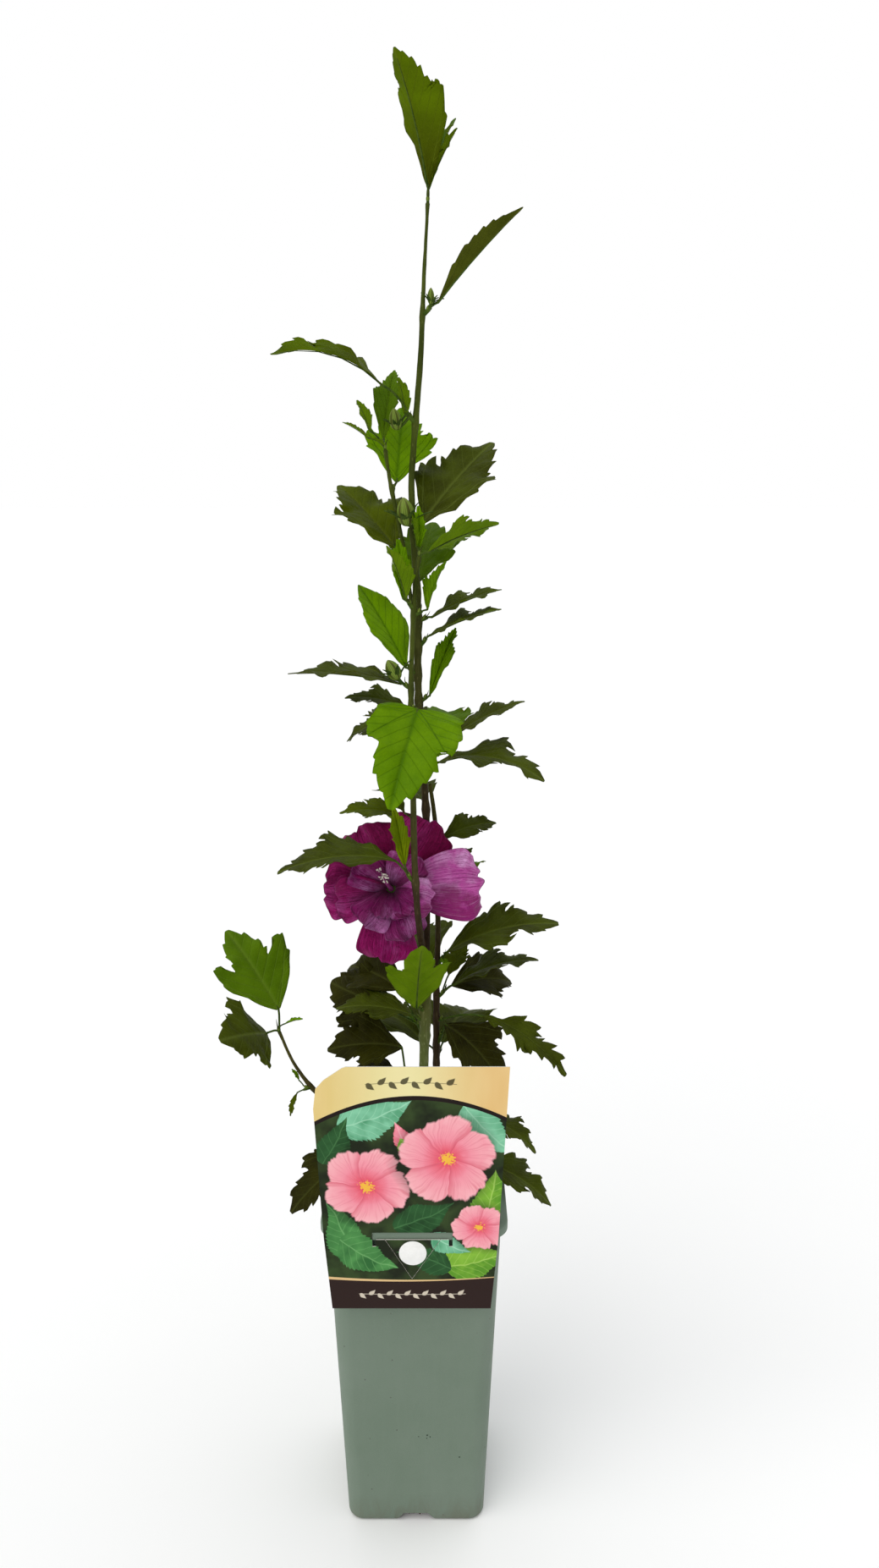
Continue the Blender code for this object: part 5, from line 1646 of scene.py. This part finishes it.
def blossom_group():
    """A single blossom of five broad petals, each lapping over the next, round a crowded heart."""
    group = Group("printed blossom", ["X", "Z", "Centre X", "Centre Z", "Radius", "Turn"],
                  ["Mask", "Depth", "Lap", "Streak", "Ruffle", "Heart"])
    given = group.given

    def grain(round_scale, out_scale, detail):
        place = group.joined(cos * round_scale, sin * round_scale, depth * out_scale + given["Centre X"])
        return group.noise(place, 1.0, detail, 0.5)

    dx, dz = given["X"] - given["Centre X"], given["Z"] - given["Centre Z"]
    depth = calc("SQRT", dx * dx + dz * dz) / given["Radius"]
    turn = calc("ARCTAN2", dz, dx) + given["Turn"] + depth * 0.30
    cos, sin = calc("COSINE", turn), calc("SINE", turn)
    petal = calc("FRACT", turn * (2.5 / math.pi))
    reach = 0.74 + calc("SINE", petal * math.pi) ** 0.5 * 0.20 + (grain(5.5, 0.0, 3.0) - 0.5) * 0.26
    dots = group.cells(group.joined(dx, dz), 0.75)
    return group.give(
        Mask=held((reach - depth) * 22.0), Depth=depth, Lap=held(1.0 - petal * 5.5),
        Streak=grain(20.0, 1.6, 2.0), Ruffle=grain(3.4, 5.0, 3.0),
        Heart=held((held(1.15 - depth * 4.6) - dots) * 6.0),
    )


def printed_leaf_group():
    """A pointed leaf with a fine saw edge, a midrib, side ribs and one half lighter than the other."""
    group = Group("printed leaf", ["X", "Z", "Centre X", "Centre Z", "Length", "Width", "Turn"],
                  ["Mask", "Rib", "Half", "Edge"])
    given = group.given
    dx, dz = given["X"] - given["Centre X"], given["Z"] - given["Centre Z"]
    cos, sin = calc("COSINE", given["Turn"]), calc("SINE", given["Turn"])
    along = dx * cos + dz * sin
    place = held(along / given["Length"] + 0.5)
    side = dz * cos - dx * sin + place * (1.0 - place) * given["Width"] * 0.8
    off = abs(side)
    teeth = 0.95 + calc("FRACT", along * 0.42) * 0.10
    width = calc("SINE", place ** 0.62 * math.pi) ** 1.15 * given["Width"] * teeth
    ribs = held(1.0 - abs(calc("FRACT", (along - off * 0.9) * 0.19) - 0.5) * 12.0)
    return group.give(
        Mask=held((width - off) * 2.5), Rib=calc("MAXIMUM", held(1.0 - off * 1.6), ribs * 0.55),
        Half=side > 0.0, Edge=held(off / (width + 0.01)),
    )


class CardPrint(Look):
    """Glossy print: a gold head band over a dark arc, a garden of simple blossoms, a dark foot band."""

    def __init__(self):
        super().__init__("card_print", 0.36, Specular_IOR_Level=0.10)
        self.blossom, self.leaf = blossom_group(), printed_leaf_group()
        self.flat = self.stretched((1000, 1000, 1000))
        self.x, _, self.z = self.parts(self.flat)
        drift = self.node("TexNoise", {"Vector": self.flat, "Scale": 0.055, "Detail": 2.0})["Color"]
        steps = (("SUBTRACT", (0.5, 0.5, 0.5)), ("MULTIPLY", (7.0, 0.0, 7.0)), ("ADD", self.flat))
        for operation, other in steps:
            drift = self.node("VectorMath", {0: drift, 1: other}, operation=operation)[0]
        self.drawn = self.parts(drift)

    def printed(self, group, **values):
        values = {"X": self.drawn[0], "Z": self.drawn[2], **values}
        return self.node("Group", {key.replace("_", " "): value for key, value in values.items()},
                         node_tree=group)

    def put_leaf(self, base, centre, length, width, turn, tint):
        low, high, pale = PRINT_TINTS[tint]
        shape = self.printed(self.leaf, Centre_X=centre[0], Centre_Z=centre[1], Length=length, Width=width,
                             Turn=turn)
        tint = self.layers(low, (high, self.noise(self.flat, 0.10, 2), 0.35, 0.65),
                           (high, shape["Half"] * 0.45), (low, shape["Edge"], 0.55, 1.0, 0, 0.35),
                           (pale, shape["Rib"] * 0.75))
        return self.mix(shape["Mask"], base, tint)

    def put_blossom(self, base, centre, radius, turn):
        shape = self.printed(self.blossom, Centre_X=centre[0], Centre_Z=centre[1], Radius=radius, Turn=turn)
        tint = self.layers(
            CORAL, (PINK, shape["Depth"], 0.10, 0.48), (PALE_PINK, shape["Depth"], 0.42, 0.95, 0, 0.85),
            (PINK, shape["Ruffle"], 0.50, 0.72, 0, 0.5), (FOLD_RED, shape["Streak"], 0.50, 0.75, 0, 0.45),
            (FOLD_RED, shape["Lap"] * 0.62), ((0.90, 0.50, 0.06), shape["Heart"]),
        )
        return self.layers(base, (PRINT_DARKS[0], shape["Depth"], 0.84, 1.12, 0.6, 0), (tint, shape["Mask"]))

    def put_row(self, base, centre, level, run, step, length, width, turn, rate, tint):
        """A row of small leaves that point up and down by turns along a bowed stem."""
        u = (self.x - centre) / step
        side = (calc("FRACT", u * 0.5) > 0.5) * 2.0 - 1.0
        rise = self.z - self.bow(centre, level, rate)
        shape = self.printed(self.leaf, X=(calc("FRACT", u) - 0.5) * step, Z=rise - side * (length * 0.26),
                             Centre_X=0.0, Centre_Z=0.0, Length=length, Width=width, Turn=side * turn)
        stem = held(1.0 - abs(rise) * 3.2)
        mask = calc("MAXIMUM", shape["Mask"], stem) * (abs(self.x - centre) < run)
        return self.layers(base, (tint, mask * 0.9))

    def bow(self, centre, level, rate):
        """The height of a line that bows down to both sides of its middle."""
        run = self.x - centre
        return level - run * run * rate

    def bands(self, base):
        """The gold head band over its dark arc, and the foot band under its gold line."""
        # The gold lightens towards the middle of the band as a painted sheen.
        left, middle, right = HEAD_GOLDS_AND_SHEEN
        soft = self.noise(self.stretched((1, 1, 0.2), self.flat), 0.06, 2)
        gold = self.layers(left, (middle, self.x, -50, -8), (right, self.x, -2, 44),
                           ((0.88, 0.70, 0.36), soft, 0.4, 0.62, 0, 0.3))
        arc, line = self.bow(*ARC), self.bow(*GOLD_LINE)
        base = self.layers(base, ((0.014, 0.008, 0.007), self.z > arc - ARC_LINE), (gold, self.z > arc))
        base = self.put_row(base, *HEAD_ROW)
        thick = self.span(self.x, -48, 46, 1.7, 0.5)
        base = self.layers(base, ((0.72, 0.50, 0.24), self.z < line),
                           ((0.026, 0.013, 0.011), self.z < line - thick))
        return self.put_row(base, *FOOT_ROW)

    def whole(self):
        dark, less_dark = PRINT_DARKS
        base = self.layers(dark, (less_dark, self.noise(self.flat, 0.05, 3), 0.42, 0.62))
        for leaf in PRINT_LEAVES:
            base = self.put_leaf(base, *leaf)
        for blossom in PRINT_BLOSSOMS:
            base = self.put_blossom(base, *blossom)
        gloss = self.span(self.noise(self.flat, 0.9, 3), 0.3, 0.7, 0.30, 0.42)
        return self.finish(self.bands(base), self.noise(self.flat, 0.25, 2), 0.0001, gloss)


def make_looks():
    veins = vein_group()
    looks = {name: leaf_look(name, veins) for name in LEAF_LOOKS}
    looks |= {name: bark_look(name, *values) for name, values in BARKS.items()}
    looks |= {name: petal_look(name, *colours) for name, colours in PETAL_LOOKS.items()}
    looks |= {name: plain_look(name, *values) for name, values in PLAIN_LOOKS.items()}
    looks |= {"bud": bud_look(), "pot_plastic": pot_look(), "potting_soil": soil_look()}
    looks["card_print"] = CardPrint().whole()
    return looks


# Camera, light and floor.

def build_camera():
    camera = bpy.data.cameras.new("camera")
    camera.sensor_fit = "VERTICAL"
    camera.sensor_height = SENSOR
    camera.lens = SENSOR * FOCAL_PIXELS / FRAME_HEIGHT
    camera.clip_start = 0.01
    obj = linked("camera", camera)
    obj.location = CAMERA_PLACE
    obj.rotation_euler = (math.radians(90 - CAMERA_DIP), 0, 0)
    bpy.context.scene.camera = obj


def build_lamps():
    for name, travel, strength, spread, colour in LAMPS:
        light = bpy.data.lights.new(name, "SUN")
        light.energy = strength
        light.angle = math.radians(spread)
        light.color = colour
        obj = linked(name, light)
        obj.location = (0, 0, 2)
        obj.rotation_euler = Vector(travel).to_track_quat("-Z", "Y").to_euler()


def build_surroundings():
    """A white backdrop that lights the shrub less than it shows, and a pale floor."""
    world = bpy.data.worlds.new("studio")
    world.use_nodes = True
    net = Net(world.node_tree)
    white = net.tree.nodes["Background"]
    white.inputs["Color"].default_value = (1, 1, 1, 1)
    white.inputs["Strength"].default_value = BACKDROP_LIGHT
    fill = net.node("Background", {"Color": (1, 1, 1), "Strength": FILL_LIGHT})[0]
    seen = net.node("LightPath")["Is Camera Ray"]
    blend = net.node("MixShader", {0: seen, 1: fill, 2: Term(white.outputs[0])})[0]
    feed(net.tree.nodes["World Output"].inputs["Surface"], blend)
    bpy.context.scene.world = world
    bpy.context.scene.view_settings.view_transform = "Standard"
    floor = added(bpy.ops.mesh.primitive_plane_add, "floor", size=40)
    look = Look("floor_paper", 0.9, Specular_IOR_Level=0.1)
    base = look.layers((0.93, 0.93, 0.93), ((0.95, 0.95, 0.95), look.noise(look.here, 3, 2)))
    floor.data.materials.append(look.finish(base))


def main():
    build_camera()
    build_lamps()
    build_surroundings()
    looks = make_looks()
    build_pot(looks)
    build_soil_bed(looks)
    build_crumbs(looks)
    build_card(looks)
    for name in LIMBS:
        build_limb(name, looks)
    build_foliage(looks)
    build_bloom(looks)


main()
